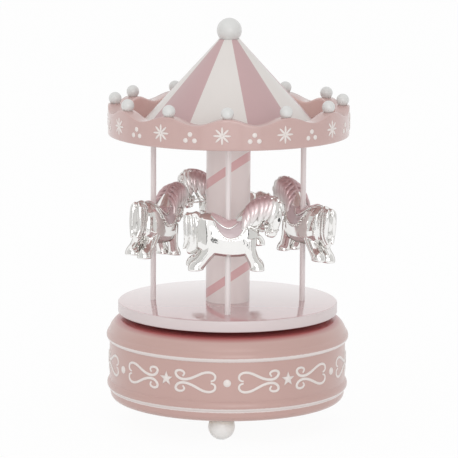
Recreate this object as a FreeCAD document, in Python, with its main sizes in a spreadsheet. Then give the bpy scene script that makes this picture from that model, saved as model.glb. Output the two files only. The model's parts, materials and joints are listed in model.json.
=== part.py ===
"""Carousel music box in its own frame: millimetres, +Z up, the feet stand on z = 0.

The carousel turns about the Z axis. Seen from the front, along +Y, the box's right is +X.
The movement hangs upside down under the deck of the base, with its cylinder along +X.
"""
import FreeCAD
import Part
import Sketcher
import math
import os

SIZES = {
    # base drum, turned from wood
    "base_bottom": 11.0,            # underside of the drum above the floor
    "chamber_gap": 1.387,           # between the movement and the wall of its chamber
    "drum_wall": 8.35,              # from the chamber to the wall between the beads
    "edge_step": 2.1,               # bottom edge inside the band, before it rounds up
    "edge_height": 2.6,
    "band_step": 0.35,              # plain band under the lower bead, inside the wall
    "band_height": 2.0,
    "wall_height": 17.7,
    "bead_height": 4.6,
    "shoulder_lip": 0.3,            # start of the shoulder outside the wall
    "shoulder_step": 4.55,          # end of the shoulder inside the wall
    "shoulder_height": 5.7,
    "rim_width": 2.6,               # flat rim around the deck
    # deck that closes the top of the drum
    "deck_thickness": 11.2,
    "deck_hole_radius": 5.2,
    # bottom cover and feet
    "rebate_width": 2.4,            # ledge in the drum that the cover sits against
    "cover_thickness": 3.5,
    "cover_screw_radius": 0.7,
    "cover_screw_length": 8.0,
    "foot_radius": 6.0,
    "foot_inset": 6.5,              # foot's middle inside the wall of the chamber
    "foot_flat": 0.2,               # height of the flat sanded under each ball
    "foot_dowel_radius": 2.0,
    "foot_dowel_length": 2.5,
    # turntable, column and poles
    "table_gap": 3.1,               # between the rim of the base and the turntable
    "table_overhang": 0.7,          # edge of the turntable outside the rim
    "table_thickness": 4.5,
    "table_round": 0.5,
    "column_radius": 10.0,
    "column_height": 76.4,
    "tenon_radius": 5.0,
    "tenon_length": 2.5,
    "pole_radius": 1.25,
    "pole_inset": 16.0,             # pole's middle inside the edge of the turntable
    "pole_socket": 2.5,
    # horses, all cast from one pattern
    "horse_length": 44.0,
    "horse_height": 33.0,
    "horse_width": 13.0,
    "horse_lift": 21.3,             # hooves above the turntable
    # canopy
    "canopy_deck_thickness": 4.0,
    "ring_overhang": 4.6,           # ring's outside beyond the edge of the turntable
    "ring_wall": 6.4,
    "ring_height": 13.8,            # up to the crests
    "scallop_depth": 3.1,
    "rim_ball_radius": 2.9,
    "rim_ball_rise": 2.1,           # ball centre above its crest
    "rim_pin_radius": 0.6,
    "rim_pin_length": 2.5,
    "trough_width": 7.65,           # between the ring and the foot of the cone
    "cone_top_radius": 4.65,
    "cone_height": 39.3,
    "finial_radius": 5.65,
    "finial_rise": 3.8,             # ball centre above the top of the cone
    "finial_dowel_radius": 1.5,
    "finial_dowel_length": 6.0,
    # bedplate of the movement
    "bedplate_thickness": 2.5,
    "bedplate_margin": 1.0,         # beyond the pieces that stand on it
    "bedplate_screw_inset": 5.0,
    "bedplate_screw_radius": 1.2,
    "bedplate_screw_length": 5.5,
    "bush_radius": 3.4,
    "bush_flange": 1.0,
    # mainspring barrel and winding arbor
    "arbor_radius": 2.0,
    "barrel_radius": 11.0,
    "barrel_wall": 0.8,
    "barrel_height": 13.9,
    "barrel_floor": 1.2,
    "barrel_gap": 0.6,              # between the barrel and the great wheel
    "pillar_radius": 1.6,
    "pillar_gap": 1.1,              # between a pillar and the great wheel
    "ear_radius": 2.9,
    "rivet_radius": 0.9,
    "spring_thickness": 0.4,
    "spring_pitch": 1.0,
    "spring_turns": 6,
    # drive hub under the turntable
    "hub_radius": 9.0,
    "hub_thickness": 2.0,
    "hub_sleeve_radius": 3.6,
    "hub_sleeve_length": 6.0,
    "hub_screw_radius": 0.9,
    "hub_screw_length": 4.5,
    # gear train
    "crown_teeth": 42,
    "cylinder_pinion_teeth": 14,
    "crown_module": 0.65,
    "crown_face": 1.6,
    "crown_plate": 1.8,
    "crown_lip": 0.35,              # rim of the great wheel outside its teeth
    "pinion_margin": 0.15,          # pinion beyond each end of the crown teeth
    "crown_gap": 0.9,               # between the bedplate and the great wheel
    "cylinder_wheel_teeth": 28,
    "lay_pinion_teeth": 10,
    "worm_wheel_teeth": 24,
    "train_module": 0.5,
    "wheel_width": 1.3,
    "worm_radius": 1.75,
    "worm_length": 8.0,
    "axle_radius": 1.0,             # cylinder arbor
    "lay_axle_radius": 0.7,
    "pivot_radius": 0.5,
    "pivot_gap": 0.2,               # end play of the governor's shaft
    "axle_reach": 0.4,              # end of an arbor beyond its bearing
    "fan_radius": 3.2,
    "fan_height": 3.0,
    "fan_thickness": 0.6,
    # pinned cylinder and comb
    "cylinder_radius": 6.4,
    "note_pitch": 0.8,
    "pin_radius": 0.18,
    "pin_height": 0.5,
    "comb_thickness": 0.9,
    "comb_length": 14.0,
    "comb_tooth_length": 7.8,
    "comb_slot": 0.25,
    "comb_screw_radius": 0.9,
    "comb_screw_length": 6.0,
    # bearing posts
    "post_thickness": 1.4,
    "post_width": 3.2,
    "post_gap": 0.6,                # end play along the cylinder's axis
    "bracket_foot": 1.6,
    "bracket_screw_radius": 0.6,
    # fits
    "slip": 0.05,                   # glued, pressed and screwed fits
    "running": 0.05,                # shafts in their bearings
    "moving_gap": 0.3,              # between pieces that pass each other
    "overrun": 1.0,                 # how far a cut runs past the face it leaves through
    "stand_off": 0.3,               # left free beyond the end of a screw, pin or rivet
}
NOTES = 18
PINS = 54
SCALLOPS = 12
HEADINGS = {"front": 0.0, "right": 123.0, "back": 180.0, "left": 62.0}
NODS = {"front": 0.0, "right": -4.0, "back": -5.5, "left": 5.5}   # degrees, nose down
SETS = {"front": 0.0, "right": -2.0, "back": 0.0, "left": -1.4}   # mm off the pole, to the horse's left
PLACES = {"front": -90.0, "right": 0.0, "back": 90.0, "left": 180.0}
VALLEY_TURN = 14.3                  # the first valley of the ring, from the front towards the right
TOOTH_ADD = 0.9                     # tip above the pitch circle, in modules
TOOTH_DED = 1.2                     # root below the pitch circle, in modules
PINION_TIP, PINION_ROOT = 0.24, 0.42    # tooth thickness in shares of the tooth pitch
WHEEL_TIP, WHEEL_ROOT = 0.22, 0.50
WORM_TIP, WORM_ROOT = 0.16, 0.38

doc = FreeCAD.newDocument("carousel_music_box")
sheet = doc.addObject("Spreadsheet::Sheet", "dims")
for row, (alias, number) in enumerate(SIZES.items(), 1):
    sheet.set(f"A{row}", alias)
    sheet.set(f"B{row}", str(number))
    sheet.setAlias(f"B{row}", alias)
doc.recompute()


class Size:
    """A length worked out from the sheet: its number now, and the expression that keeps it tied."""

    def __init__(self, number, text):
        self.number = float(number)
        self.text = text

    def __float__(self):
        return self.number

    def __add__(self, other):
        return Size(self.number + float(other), f"({self.text} + {as_text(other)})")

    def __sub__(self, other):
        return Size(self.number - float(other), f"({self.text} - {as_text(other)})")

    def __mul__(self, other):
        return Size(self.number * float(other), f"({self.text} * {as_text(other)})")

    def __truediv__(self, other):
        return Size(self.number / float(other), f"({self.text} / {as_text(other)})")

    def __neg__(self):
        return self * -1

    def root(self):
        return Size(math.sqrt(self.number), f"sqrt({self.text})")


def as_text(value):
    return value.text if isinstance(value, Size) else f"({float(value)})"


class Dimensions:
    """The sheet's cells by name."""

    def __getattr__(self, alias):
        return Size(sheet.get(alias), f"dims.{alias}")


d = Dimensions()
nodes = []


def keep(thing, name):
    """Name a finished piece and put it on the list of pieces to write."""
    thing.Label = name
    nodes.append(thing)
    return thing


def bind(thing, **sizes):
    """Tie properties to sizes; a double underscore stands for the dot in a property's path."""
    for name, size in sizes.items():
        thing.setExpression(name.replace("__", "."), as_text(size))


def place(thing, x=0.0, y=0.0, z=0.0):
    bind(thing, Placement__Base__x=x, Placement__Base__y=y, Placement__Base__z=z)
    return thing


def polar(radius, degrees):
    angle = math.radians(degrees)
    return radius * math.cos(angle), radius * math.sin(angle)


def origin_feature(body, role):
    return [feature for feature in body.Origin.OriginFeatures if feature.Role == role][0]


def outline(body, points):
    """A closed sketch on the body's XZ plane. A third number makes the run to the next point an
    arc of that radius, which bulges to the right of the way round, or to the left if negative."""
    sketch = body.newObject("Sketcher::SketchObject", "outline")
    sketch.AttachmentSupport = [(origin_feature(body, "XZ_Plane"), "")]
    sketch.MapMode = "FlatFace"
    spots = [FreeCAD.Vector(float(p[0]), float(p[1]), 0) for p in points]
    first, last = [], []
    for index, point in enumerate(points):
        start, end = spots[index], spots[(index + 1) % len(points)]
        radius = float(point[2]) if len(point) == 3 else 0.0
        side = 1 if radius >= 0 else -1
        if radius:
            half = (end - start) / 2
            left = FreeCAD.Vector(-half.y, half.x, 0).normalize() * side
            centre = start + half + left * math.sqrt(radius ** 2 - half.Length ** 2)
            bulge = centre - left * abs(radius)
            sketch.addGeometry(Part.Arc(start, bulge, end) if side > 0 else Part.Arc(end, bulge, start))
        else:
            sketch.addGeometry(Part.LineSegment(start, end))
        first.append(1 if side > 0 else 2)
        last.append(2 if side > 0 else 1)
    for index, point in enumerate(points):
        following = (index + 1) % len(points)
        sketch.addConstraint(
            Sketcher.Constraint("Coincident", index, last[index], following, first[following]))
        for axis, kind, coordinate in ((-2, "DistanceX", point[0]), (-1, "DistanceY", point[1])):
            if float(coordinate) == 0:
                sketch.addConstraint(Sketcher.Constraint("PointOnObject", index, first[index], axis))
                continue
            rule = Sketcher.Constraint(kind, -1, 1, index, first[index], float(coordinate))
            number = sketch.addConstraint(rule)
            sketch.setExpression(f"Constraints[{number}]", as_text(coordinate))
        if len(point) == 3:
            number = sketch.addConstraint(
                Sketcher.Constraint("Radius", index, abs(float(point[2]))))
            sketch.setExpression(f"Constraints[{number}]", f"abs({as_text(point[2])})")
    return sketch


def turned(name, points):
    """A piece turned on a lathe about the Z axis."""
    body = doc.addObject("PartDesign::Body", name)
    sketch = outline(body, points)
    turning = body.newObject("PartDesign::Revolution", "turning")
    turning.Profile = sketch
    turning.ReferenceAxis = (sketch, ["V_Axis"])
    turning.Angle = 360
    doc.recompute()
    return keep(body, name)


def drill(body, radius, depth, z, x=0.0, y=0.0, count=1):
    """A hole that runs up from height z, repeated evenly about the Z axis."""
    before = body.Shape.Volume
    hole = body.newObject("PartDesign::SubtractiveCylinder", "hole")
    bind(hole, Radius=radius, Height=depth)
    place(hole, x, y, z)
    doc.recompute()
    if count > 1:
        ring = body.newObject("PartDesign::PolarPattern", "holes")
        ring.Originals = [hole]
        ring.Axis = (origin_feature(body, "Z_Axis"), [""])
        ring.Angle = 360
        ring.Occurrences = count
        body.Tip = ring
        doc.recompute()
    if body.Shape.Volume >= before:
        raise RuntimeError(f"a hole in {body.Label} cuts nothing")


def block(x0, x1, y0, y1, z0, z1):
    thing = doc.addObject("Part::Box", "block")
    bind(thing, Length=x1 - x0, Width=y1 - y0, Height=z1 - z0)
    return place(thing, x0, y0, z0)


def rod(radius, length, x=0.0, y=0.0, z=0.0, along="Z"):
    thing = doc.addObject("Part::Cylinder", "rod")
    bind(thing, Radius=radius, Height=length)
    if along == "X":
        thing.Placement.Rotation = FreeCAD.Rotation(FreeCAD.Vector(0, 1, 0), 90)
    return place(thing, x, y, z)


def joined(pieces):
    fuse = doc.addObject("Part::MultiFuse", "joined")
    fuse.Shapes = pieces
    return fuse


def without(base, tools):
    cut = doc.addObject("Part::Cut", "cut")
    cut.Base = base
    cut.Tool = tools[0] if len(tools) == 1 else joined(tools)
    return cut


def solid(name, shape):
    """A piece whose shape is worked out in code."""
    thing = doc.addObject("Part::Feature", name)
    thing.Shape = shape
    return keep(thing, name)


def screw(radius, length, x, y, z):
    """A round-headed screw that points up, with the underside of its head at z."""
    head = Part.makeCylinder(1.6 * radius, 1.1 * radius, FreeCAD.Vector(x, y, z - 1.1 * radius))
    shank = Part.makeCylinder(radius, length, FreeCAD.Vector(x, y, z))
    return head.fuse(shank).removeSplitter()


# Heights that everything else hangs on.
edge_top = d.base_bottom + d.edge_height
bead_low = edge_top + d.band_height
wall_low = bead_low + d.bead_height
wall_high = wall_low + d.wall_height
shoulder_low = wall_high + d.bead_height
rim_top = shoulder_low + d.shoulder_height
deck_under = rim_top - d.deck_thickness
cover_top = d.base_bottom + d.cover_thickness
table_low = rim_top + d.table_gap
table_top = table_low + d.table_thickness
canopy_low = table_top + d.column_height
canopy_deck_top = canopy_low + d.canopy_deck_thickness
ring_top = canopy_low + d.ring_height
cone_top = canopy_deck_top + d.cone_height
bedplate_under = deck_under - d.bedplate_thickness

# Heights and places of the gear train, from the great wheel to the fan.
crown_add = d.crown_module * 0.85
crown_ded = d.crown_module * 1.3
train_add = d.train_module * TOOTH_ADD
train_ded = d.train_module * TOOTH_DED
crown_top = bedplate_under - d.crown_gap
crown_under = crown_top - d.crown_plate
crown_pitch_radius = d.crown_module * d.crown_teeth / 2
crown_rim = crown_pitch_radius + d.crown_face / 2 + d.crown_lip
cylinder_pinion_radius = d.crown_module * d.cylinder_pinion_teeth / 2
axis_z = crown_under - crown_ded - cylinder_pinion_radius
pinion_start = crown_pitch_radius - d.crown_face / 2 - d.pinion_margin
pinion_width = d.crown_face + d.pinion_margin * 2
post_start = crown_rim + d.post_gap
drum_start = post_start + d.post_thickness + d.post_gap
drum_length = d.note_pitch * NOTES
wheel_start = drum_start + drum_length + d.post_gap
end_post_start = wheel_start + d.wheel_width + d.post_gap
cylinder_wheel_radius = d.train_module * d.cylinder_wheel_teeth / 2
lay_pinion_radius = d.train_module * d.lay_pinion_teeth / 2
worm_wheel_radius = d.train_module * d.worm_wheel_teeth / 2
lay_y = cylinder_wheel_radius + lay_pinion_radius
lay_pinion_start = wheel_start - d.post_gap / 2
lay_pinion_width = d.wheel_width + d.post_gap
lay_post_start = lay_pinion_start - d.post_gap * 2 - d.post_thickness
worm_wheel_start = lay_pinion_start + lay_pinion_width + d.post_gap
lay_end_start = worm_wheel_start + d.wheel_width + d.post_gap * 1.5
worm_x = worm_wheel_start + d.wheel_width / 2
worm_y = lay_y + worm_wheel_radius + d.worm_radius
worm_pitch = d.train_module * math.pi
fan_z = axis_z - d.worm_length / 2 - d.fan_height - d.post_gap * 2.5
bridge_top = fan_z - d.post_gap
bridge_y = worm_y + d.fan_radius + d.post_gap
bridge_back = bridge_y + d.post_width
bridge_right = worm_x + d.post_width / 2
comb_tip = d.cylinder_radius + d.pin_height + d.moving_gap
comb_back = comb_tip + d.comb_length
comb_root = comb_tip + d.comb_tooth_length
comb_top = axis_z + d.comb_thickness / 2
comb_under = axis_z - d.comb_thickness / 2
barrel_top = crown_under - d.barrel_gap
barrel_under = barrel_top - d.barrel_height
fan_shaft_radius = d.worm_radius - train_ded
pillar_circle = crown_rim + d.pillar_radius + d.pillar_gap
lay_end = lay_end_start + d.post_thickness
bedplate_back = pillar_circle + d.ear_radius + d.bedplate_margin
bedplate_front = lay_end + d.bedplate_margin
bedplate_comb_side = comb_back + d.bedplate_margin
bedplate_fan_side = bridge_back + d.bedplate_margin

# Radii, from the movement out to the drum, and from the drum's rim up to the canopy.
movement_reach = (bridge_right * bridge_right + bridge_back * bridge_back).root()
chamber_radius = movement_reach + d.chamber_gap
bedplate_round = movement_reach + d.chamber_gap / 3
wall_radius = chamber_radius + d.drum_wall
band_radius = wall_radius - d.band_step
edge_radius = band_radius - d.edge_step
shoulder_radius = wall_radius - d.shoulder_step
opening_radius = shoulder_radius - d.rim_width
rebate_radius = chamber_radius + d.rebate_width + d.slip * 2
cover_radius = chamber_radius + d.rebate_width
cover_screw_circle = (chamber_radius + rebate_radius) / 2
foot_circle = chamber_radius - d.foot_inset
table_radius = shoulder_radius + d.table_overhang
pole_circle = table_radius - d.pole_inset
ring_radius = table_radius + d.ring_overhang
ring_inner = ring_radius - d.ring_wall
ring_middle = ring_radius - d.ring_wall / 2
canopy_deck_radius = ring_inner - d.slip
cone_radius = canopy_deck_radius - d.trough_width
hub_screw_circle = (d.hub_sleeve_radius + d.hub_radius) / 2

FOOT_ANGLES = (-93.5, 26.5, 146.5)
COVER_SCREW_ANGLES = (-30, 90, 210)
PILLAR_ANGLES = (90, 180, 270)
HUB_SCREW_ANGLES = (90, 210, 330)
bedplate_screw_back = d.bedplate_screw_inset - bedplate_back
bedplate_screw_side = bedplate_fan_side - d.bedplate_screw_inset
bedplate_screw_places = (
    (bedplate_screw_back, d.bedplate_screw_inset - bedplate_comb_side),
    (bedplate_screw_back, bedplate_screw_side),
    (drum_start, bedplate_screw_side),
)


# Base drum: a turned ring with beads above and below a plain wall. A ledge inside carries the deck,
# and a rebate underneath takes the bottom cover.
bead_round = d.bead_height * 0.6
base = turned("base_body", [
    (rebate_radius, d.base_bottom),
    (edge_radius, d.base_bottom, d.edge_height * 1.2),
    (band_radius, edge_top),
    (band_radius, bead_low, bead_round),
    (wall_radius, wall_low),
    (wall_radius, wall_high, bead_round),
    (wall_radius + d.shoulder_lip, shoulder_low, d.shoulder_height * 1.5),
    (shoulder_radius, rim_top),
    (opening_radius, rim_top),
    (opening_radius, deck_under),
    (chamber_radius, deck_under),
    (chamber_radius, cover_top),
    (rebate_radius, cover_top),
])
cover_screw_x, cover_screw_y = polar(cover_screw_circle, COVER_SCREW_ANGLES[0])
drill(base, d.cover_screw_radius + d.slip, d.cover_screw_length - d.cover_thickness + d.overrun, cover_top,
      cover_screw_x, cover_screw_y, len(COVER_SCREW_ANGLES))

# Base deck: a thick disc glued on the ledge of the drum, flush with its rim, with a hole for the hub.
# The movement hangs from it.
base_deck = turned("base_deck", [
    (d.deck_hole_radius, deck_under),
    (opening_radius - d.slip, deck_under),
    (opening_radius - d.slip, rim_top),
    (d.deck_hole_radius, rim_top),
])
for screw_x, screw_y in bedplate_screw_places:
    drill(base_deck, d.bedplate_screw_radius + d.slip,
          d.bedplate_screw_length - d.bedplate_thickness + d.stand_off, deck_under, screw_x, screw_y)

# Bottom cover: a plywood disc in the rebate of the drum.
cover = turned("bottom_cover", [
    (0, d.base_bottom),
    (cover_radius, d.base_bottom),
    (cover_radius, cover_top),
    (0, cover_top),
])
drill(cover, d.cover_screw_radius + d.slip, d.cover_thickness + d.overrun * 2, d.base_bottom - d.overrun,
      cover_screw_x, cover_screw_y, len(COVER_SCREW_ANGLES))
foot_x, foot_y = polar(foot_circle, FOOT_ANGLES[0])
foot_hole = d.foot_dowel_length + d.stand_off
drill(cover, d.foot_dowel_radius + d.slip, foot_hole + d.overrun, d.base_bottom - d.overrun,
      foot_x, foot_y, len(FOOT_ANGLES))
cover_screws = []
for angle in COVER_SCREW_ANGLES:
    at_x, at_y = polar(float(cover_screw_circle), angle)
    cover_screws.append(screw(float(d.cover_screw_radius), float(d.cover_screw_length),
                              at_x, at_y, float(d.base_bottom)))
solid("cover_screws", Part.makeCompound(cover_screws))

# Feet: turned balls with a dowel, flat under the ball and where it meets the cover.
foot_centre = d.foot_radius - d.foot_flat
foot_cap = d.base_bottom - foot_centre
foot_seat = (d.foot_radius * d.foot_radius - foot_cap * foot_cap).root()
foot_sole = (d.foot_radius * d.foot_radius - foot_centre * foot_centre).root()
for name, angle in zip(("front", "right", "left"), FOOT_ANGLES):
    foot = turned(f"foot_{name}", [
        (0, 0),
        (foot_sole, 0, d.foot_radius),
        (foot_seat, d.base_bottom),
        (d.foot_dowel_radius, d.base_bottom),
        (d.foot_dowel_radius, d.base_bottom + d.foot_dowel_length),
        (0, d.base_bottom + d.foot_dowel_length),
    ])
    place(foot, *polar(foot_circle, angle))

# Bedplate: a casting with the block for the comb and the inner bearing posts, bored for its pivots.
plate_blank = block(-bedplate_back, bedplate_front, -bedplate_comb_side, bedplate_fan_side,
                    bedplate_under, deck_under)
plate_round = rod(bedplate_round, d.bedplate_thickness, z=bedplate_under)
plate = doc.addObject("Part::Common", "plate")
plate.Base = plate_blank
plate.Tool = plate_round
post_low = axis_z - d.post_width / 2
comb_block = block(drum_start, drum_start + drum_length, -comb_back, -comb_root, comb_top, bedplate_under)
near_post = block(post_start, post_start + d.post_thickness, -d.post_width / 2, d.post_width / 2,
                  post_low, bedplate_under)
lay_post = block(lay_post_start, lay_post_start + d.post_thickness,
                 lay_y - d.post_width / 2, lay_y + d.post_width / 2, post_low, bedplate_under)
rivet_hole = d.rivet_radius + d.slip
pivot_hole = d.pivot_radius + d.running
plate_start = bedplate_under - d.overrun
plate_cut = d.bedplate_thickness + d.overrun * 2
post_cut = d.post_thickness + d.overrun * 2
bores = [
    rod(d.bush_radius + d.slip, plate_cut, z=plate_start),
    rod(d.axle_radius + d.running, post_cut, post_start - d.overrun, 0, axis_z, "X"),
    rod(d.lay_axle_radius + d.running, post_cut, lay_post_start - d.overrun, lay_y, axis_z, "X"),
    rod(pivot_hole, plate_cut, worm_x, worm_y, plate_start),
    rod(rivet_hole, plate_cut, worm_x, bridge_y + d.post_width / 2, plate_start),
]
for angle in PILLAR_ANGLES:
    bores.append(rod(rivet_hole, plate_cut, *polar(pillar_circle, angle), plate_start))
for screw_x, screw_y in bedplate_screw_places:
    bores.append(rod(d.bedplate_screw_radius + d.slip, plate_cut, screw_x, screw_y, plate_start))
comb_screw_places = [drum_start + drum_length * share for share in (0.15, 0.5, 0.85)]
comb_screw_y = -(comb_root + comb_back) / 2
for screw_x in comb_screw_places:
    bores.append(rod(d.comb_screw_radius + d.slip, d.comb_screw_length - d.comb_thickness + d.stand_off,
                     screw_x, comb_screw_y, comb_top))
bracket_screw_x = lay_end_start + d.post_thickness / 2
bracket_screw_places = [0.0, lay_y / 2 + d.post_width / 4]
for screw_y in bracket_screw_places:
    bores.append(rod(d.bracket_screw_radius + d.slip, d.bedplate_thickness - d.stand_off,
                     bracket_screw_x, screw_y, bedplate_under))
keep(without(joined([plate, comb_block, near_post, lay_post]), bores), "movement_bedplate")
solid("bedplate_screws", Part.makeCompound([
    screw(float(d.bedplate_screw_radius), float(d.bedplate_screw_length), float(x), float(y),
          float(bedplate_under))
    for x, y in bedplate_screw_places]))

# Bush: a flanged brass bearing for the arbor, pressed into the bedplate from above.
bush_bore = d.arbor_radius + d.running
turned("arbor_bush", [
    (bush_bore, bedplate_under - d.crown_gap / 2),
    (d.bush_radius, bedplate_under - d.crown_gap / 2),
    (d.bush_radius, deck_under),
    (d.deck_hole_radius - d.moving_gap, deck_under),
    (d.deck_hole_radius - d.moving_gap, deck_under + d.bush_flange),
    (bush_bore, deck_under + d.bush_flange),
])

# End bracket: a screwed L-shaped foot with the outer posts of the cylinder and the layshaft.
foot_low = bedplate_under - d.bracket_foot
end_post = block(end_post_start, end_post_start + d.post_thickness, -d.post_width / 2, d.post_width / 2,
                 post_low, bedplate_under)
end_foot = block(end_post_start, lay_end, -d.post_width / 2, d.post_width / 2, foot_low, bedplate_under)
side_foot = block(lay_end_start, lay_end, -d.post_width / 2, lay_y + d.post_width / 2,
                  foot_low, bedplate_under)
side_post = block(lay_end_start, lay_end, lay_y - d.post_width / 2, lay_y + d.post_width / 2,
                  post_low, bedplate_under)
bracket_bores = [
    rod(d.axle_radius + d.running, post_cut, end_post_start - d.overrun, 0, axis_z, "X"),
    rod(d.lay_axle_radius + d.running, post_cut, lay_end_start - d.overrun, lay_y, axis_z, "X"),
]
for screw_y in bracket_screw_places:
    bracket_bores.append(rod(d.bracket_screw_radius + d.slip, d.bracket_foot + d.overrun * 2,
                             bracket_screw_x, screw_y, foot_low - d.overrun))
keep(without(joined([end_post, end_foot, side_foot, side_post]), bracket_bores), "end_bracket")
bracket_screw_length = d.bracket_foot + d.bedplate_thickness - d.stand_off * 2
solid("bracket_screws", Part.makeCompound([
    screw(float(d.bracket_screw_radius), float(bracket_screw_length), float(bracket_screw_x), float(y),
          float(foot_low))
    for y in bracket_screw_places]))

# Spring barrel: a drum with three ears, riveted to the bedplate on pillars.
drum = rod(d.barrel_radius, d.barrel_height, z=barrel_under)
ears = []
for angle in PILLAR_ANGLES:
    ear_x, ear_y = polar(pillar_circle, angle)
    ears.append(rod(d.ear_radius, d.barrel_floor, ear_x, ear_y, barrel_under))
    arm = doc.addObject("Part::Box", "arm")
    bind(arm, Length=pillar_circle, Width=d.ear_radius * 2, Height=d.barrel_floor)
    turn = FreeCAD.Rotation(FreeCAD.Vector(0, 0, 1), angle)
    arm_x, arm_y = polar(d.ear_radius, angle - 90)
    arm.Placement.Rotation = turn
    place(arm, arm_x, arm_y, barrel_under)
    ears.append(arm)
floor_cut = d.barrel_floor + d.overrun * 2
barrel_bores = [
    rod(d.barrel_radius - d.barrel_wall, d.barrel_height, z=barrel_under + d.barrel_floor),
    rod(d.arbor_radius + d.running, floor_cut, z=barrel_under - d.overrun),
]
for angle in PILLAR_ANGLES:
    barrel_bores.append(rod(rivet_hole, floor_cut, *polar(pillar_circle, angle), barrel_under - d.overrun))
keep(without(joined([drum] + ears), barrel_bores), "spring_barrel")


def pillar(x, y):
    """A pillar between the barrel's ear and the bedplate, with a riveted spigot at each end."""
    low = float(barrel_under + d.barrel_floor)
    high = float(bedplate_under)
    radius = float(d.rivet_radius)
    post = Part.makeCylinder(float(d.pillar_radius), high - low, FreeCAD.Vector(x, y, low))
    spigot_low = float(barrel_under) - radius / 2
    spigot_high = high + float(d.bedplate_thickness - d.stand_off)
    spigot = Part.makeCylinder(radius, spigot_high - spigot_low, FreeCAD.Vector(x, y, spigot_low))
    return post.fuse(spigot).removeSplitter()


solid("barrel_pillars", Part.makeCompound([
    pillar(*polar(float(pillar_circle), angle)) for angle in PILLAR_ANGLES]))


def spiral_strip(inner, thickness, pitch, turns, height):
    """A flat spiral spring: half rings whose centres alternate, so that each half turn steps out."""
    step = pitch / 2
    half_turns = int(2 * turns)
    inside, outside = [], []
    for index in range(half_turns):
        shift = step / 2 if index % 2 else -step / 2
        radius = inner + step * (index + 0.5)
        side = 1 if index % 2 == 0 else -1
        for edges, r in ((inside, radius), (outside, radius + thickness)):
            ends = [FreeCAD.Vector(shift + side * r, 0), FreeCAD.Vector(shift - side * r, 0)]
            edges.append(Part.Arc(ends[0], FreeCAD.Vector(shift, side * r), ends[1]).toShape())
    start = Part.LineSegment(inside[0].Vertexes[0].Point, outside[0].Vertexes[0].Point).toShape()
    finish = Part.LineSegment(inside[-1].Vertexes[-1].Point, outside[-1].Vertexes[-1].Point).toShape()
    face = Part.Face(Part.Wire(Part.__sortEdges__(inside + outside + [start, finish])))
    return face.extrude(FreeCAD.Vector(0, 0, height))


# Mainspring: a blued steel strip, coiled in the barrel around the arbor.
spring = solid("mainspring", spiral_strip(
    float(d.arbor_radius + d.moving_gap * 2), float(d.spring_thickness), float(d.spring_pitch),
    float(d.spring_turns), float(d.barrel_height - d.barrel_floor - d.barrel_gap * 2)))
spring.Placement.Base.z = float(barrel_under + d.barrel_floor + d.moving_gap)


def comb_shape():
    """A steel plate sawn into one tooth for each note."""
    left = float(drum_start)
    width = float(drum_length)
    low = float(comb_under)
    thick = float(d.comb_thickness)
    pitch = width / NOTES
    slot = float(d.comb_slot)
    over = float(d.overrun)
    through = thick + 2 * over
    corner = FreeCAD.Vector(left, -float(comb_back), low)
    shape = Part.makeBox(width, float(comb_back - comb_tip), thick, corner)
    cuts = []
    for index in range(1, NOTES):
        corner = FreeCAD.Vector(left + index * pitch - slot / 2, -float(comb_root), low - over)
        cuts.append(Part.makeBox(slot, float(comb_root - comb_tip) + over, through, corner))
    for x in comb_screw_places:
        corner = FreeCAD.Vector(float(x), float(comb_screw_y), low - over)
        cuts.append(Part.makeCylinder(float(d.comb_screw_radius + d.slip), through, corner))
    return shape.cut(cuts)


solid("music_comb", comb_shape())
solid("comb_screws", Part.makeCompound([
    screw(float(d.comb_screw_radius), float(d.comb_screw_length), float(x), float(comb_screw_y),
          float(comb_under))
    for x in comb_screw_places]))

# Governor bridge: a post riveted to the bedplate, with an arm under the fan for the lower pivot.
bridge_low = bridge_top - d.post_thickness
bridge_left = worm_x - d.post_width / 2
bridge_post = block(bridge_left, bridge_right, bridge_y, bridge_back, bridge_low, bedplate_under)
bridge_arm = block(bridge_left, bridge_right, worm_y - d.post_width / 2, bridge_back, bridge_low, bridge_top)
bridge_rivet = rod(d.rivet_radius, d.bedplate_thickness, worm_x, bridge_y + d.post_width / 2,
                   bedplate_under - d.stand_off)
bridge_bore = rod(pivot_hole, post_cut, worm_x, worm_y, bridge_low - d.overrun)
keep(without(joined([bridge_post, bridge_arm, bridge_rivet]), [bridge_bore]), "governor_bridge")


# Winding arbor: one steel shaft from the floor of the barrel up into the hub of the turntable.
arbor_low = barrel_under - d.barrel_floor / 2
hub_low = table_low - d.hub_thickness
arbor_high = table_low - d.moving_gap
turned("winding_arbor", [
    (0, arbor_low),
    (d.arbor_radius, arbor_low),
    (d.arbor_radius, arbor_high),
    (0, arbor_high),
])


def crown_wheel():
    """A disc with teeth on its underside near the edge."""
    plate_radius = float(crown_rim)
    under = float(crown_under)
    teeth = int(d.crown_teeth.number)
    pitch = math.pi * float(d.crown_module)
    near = float(crown_pitch_radius - d.crown_face / 2)
    tip = under - float(crown_ded + crown_add)
    root_half, tip_half = 0.25 * pitch, 0.12 * pitch
    inside = under + float(d.crown_plate) / 6
    corners = [
        FreeCAD.Vector(near, -root_half, inside),
        FreeCAD.Vector(near, -tip_half, tip),
        FreeCAD.Vector(near, tip_half, tip),
        FreeCAD.Vector(near, root_half, inside),
    ]
    face = Part.Face(Part.makePolygon(corners + corners[:1]))
    tooth = face.extrude(FreeCAD.Vector(float(d.crown_face), 0, 0))
    disc = Part.makeCylinder(plate_radius, float(d.crown_plate), FreeCAD.Vector(0, 0, under))
    row = []
    for index in range(teeth):
        copy = tooth.copy()
        copy.rotate(FreeCAD.Vector(), FreeCAD.Vector(0, 0, 1), 360 * (index + 0.5) / teeth)
        row.append(copy)
    bore = Part.makeCylinder(float(d.arbor_radius + d.slip), float(d.crown_plate + d.overrun * 2),
                             FreeCAD.Vector(0, 0, under - float(d.overrun)))
    return disc.fuse(row).cut(bore).removeSplitter()


solid("great_wheel", crown_wheel())

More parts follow.
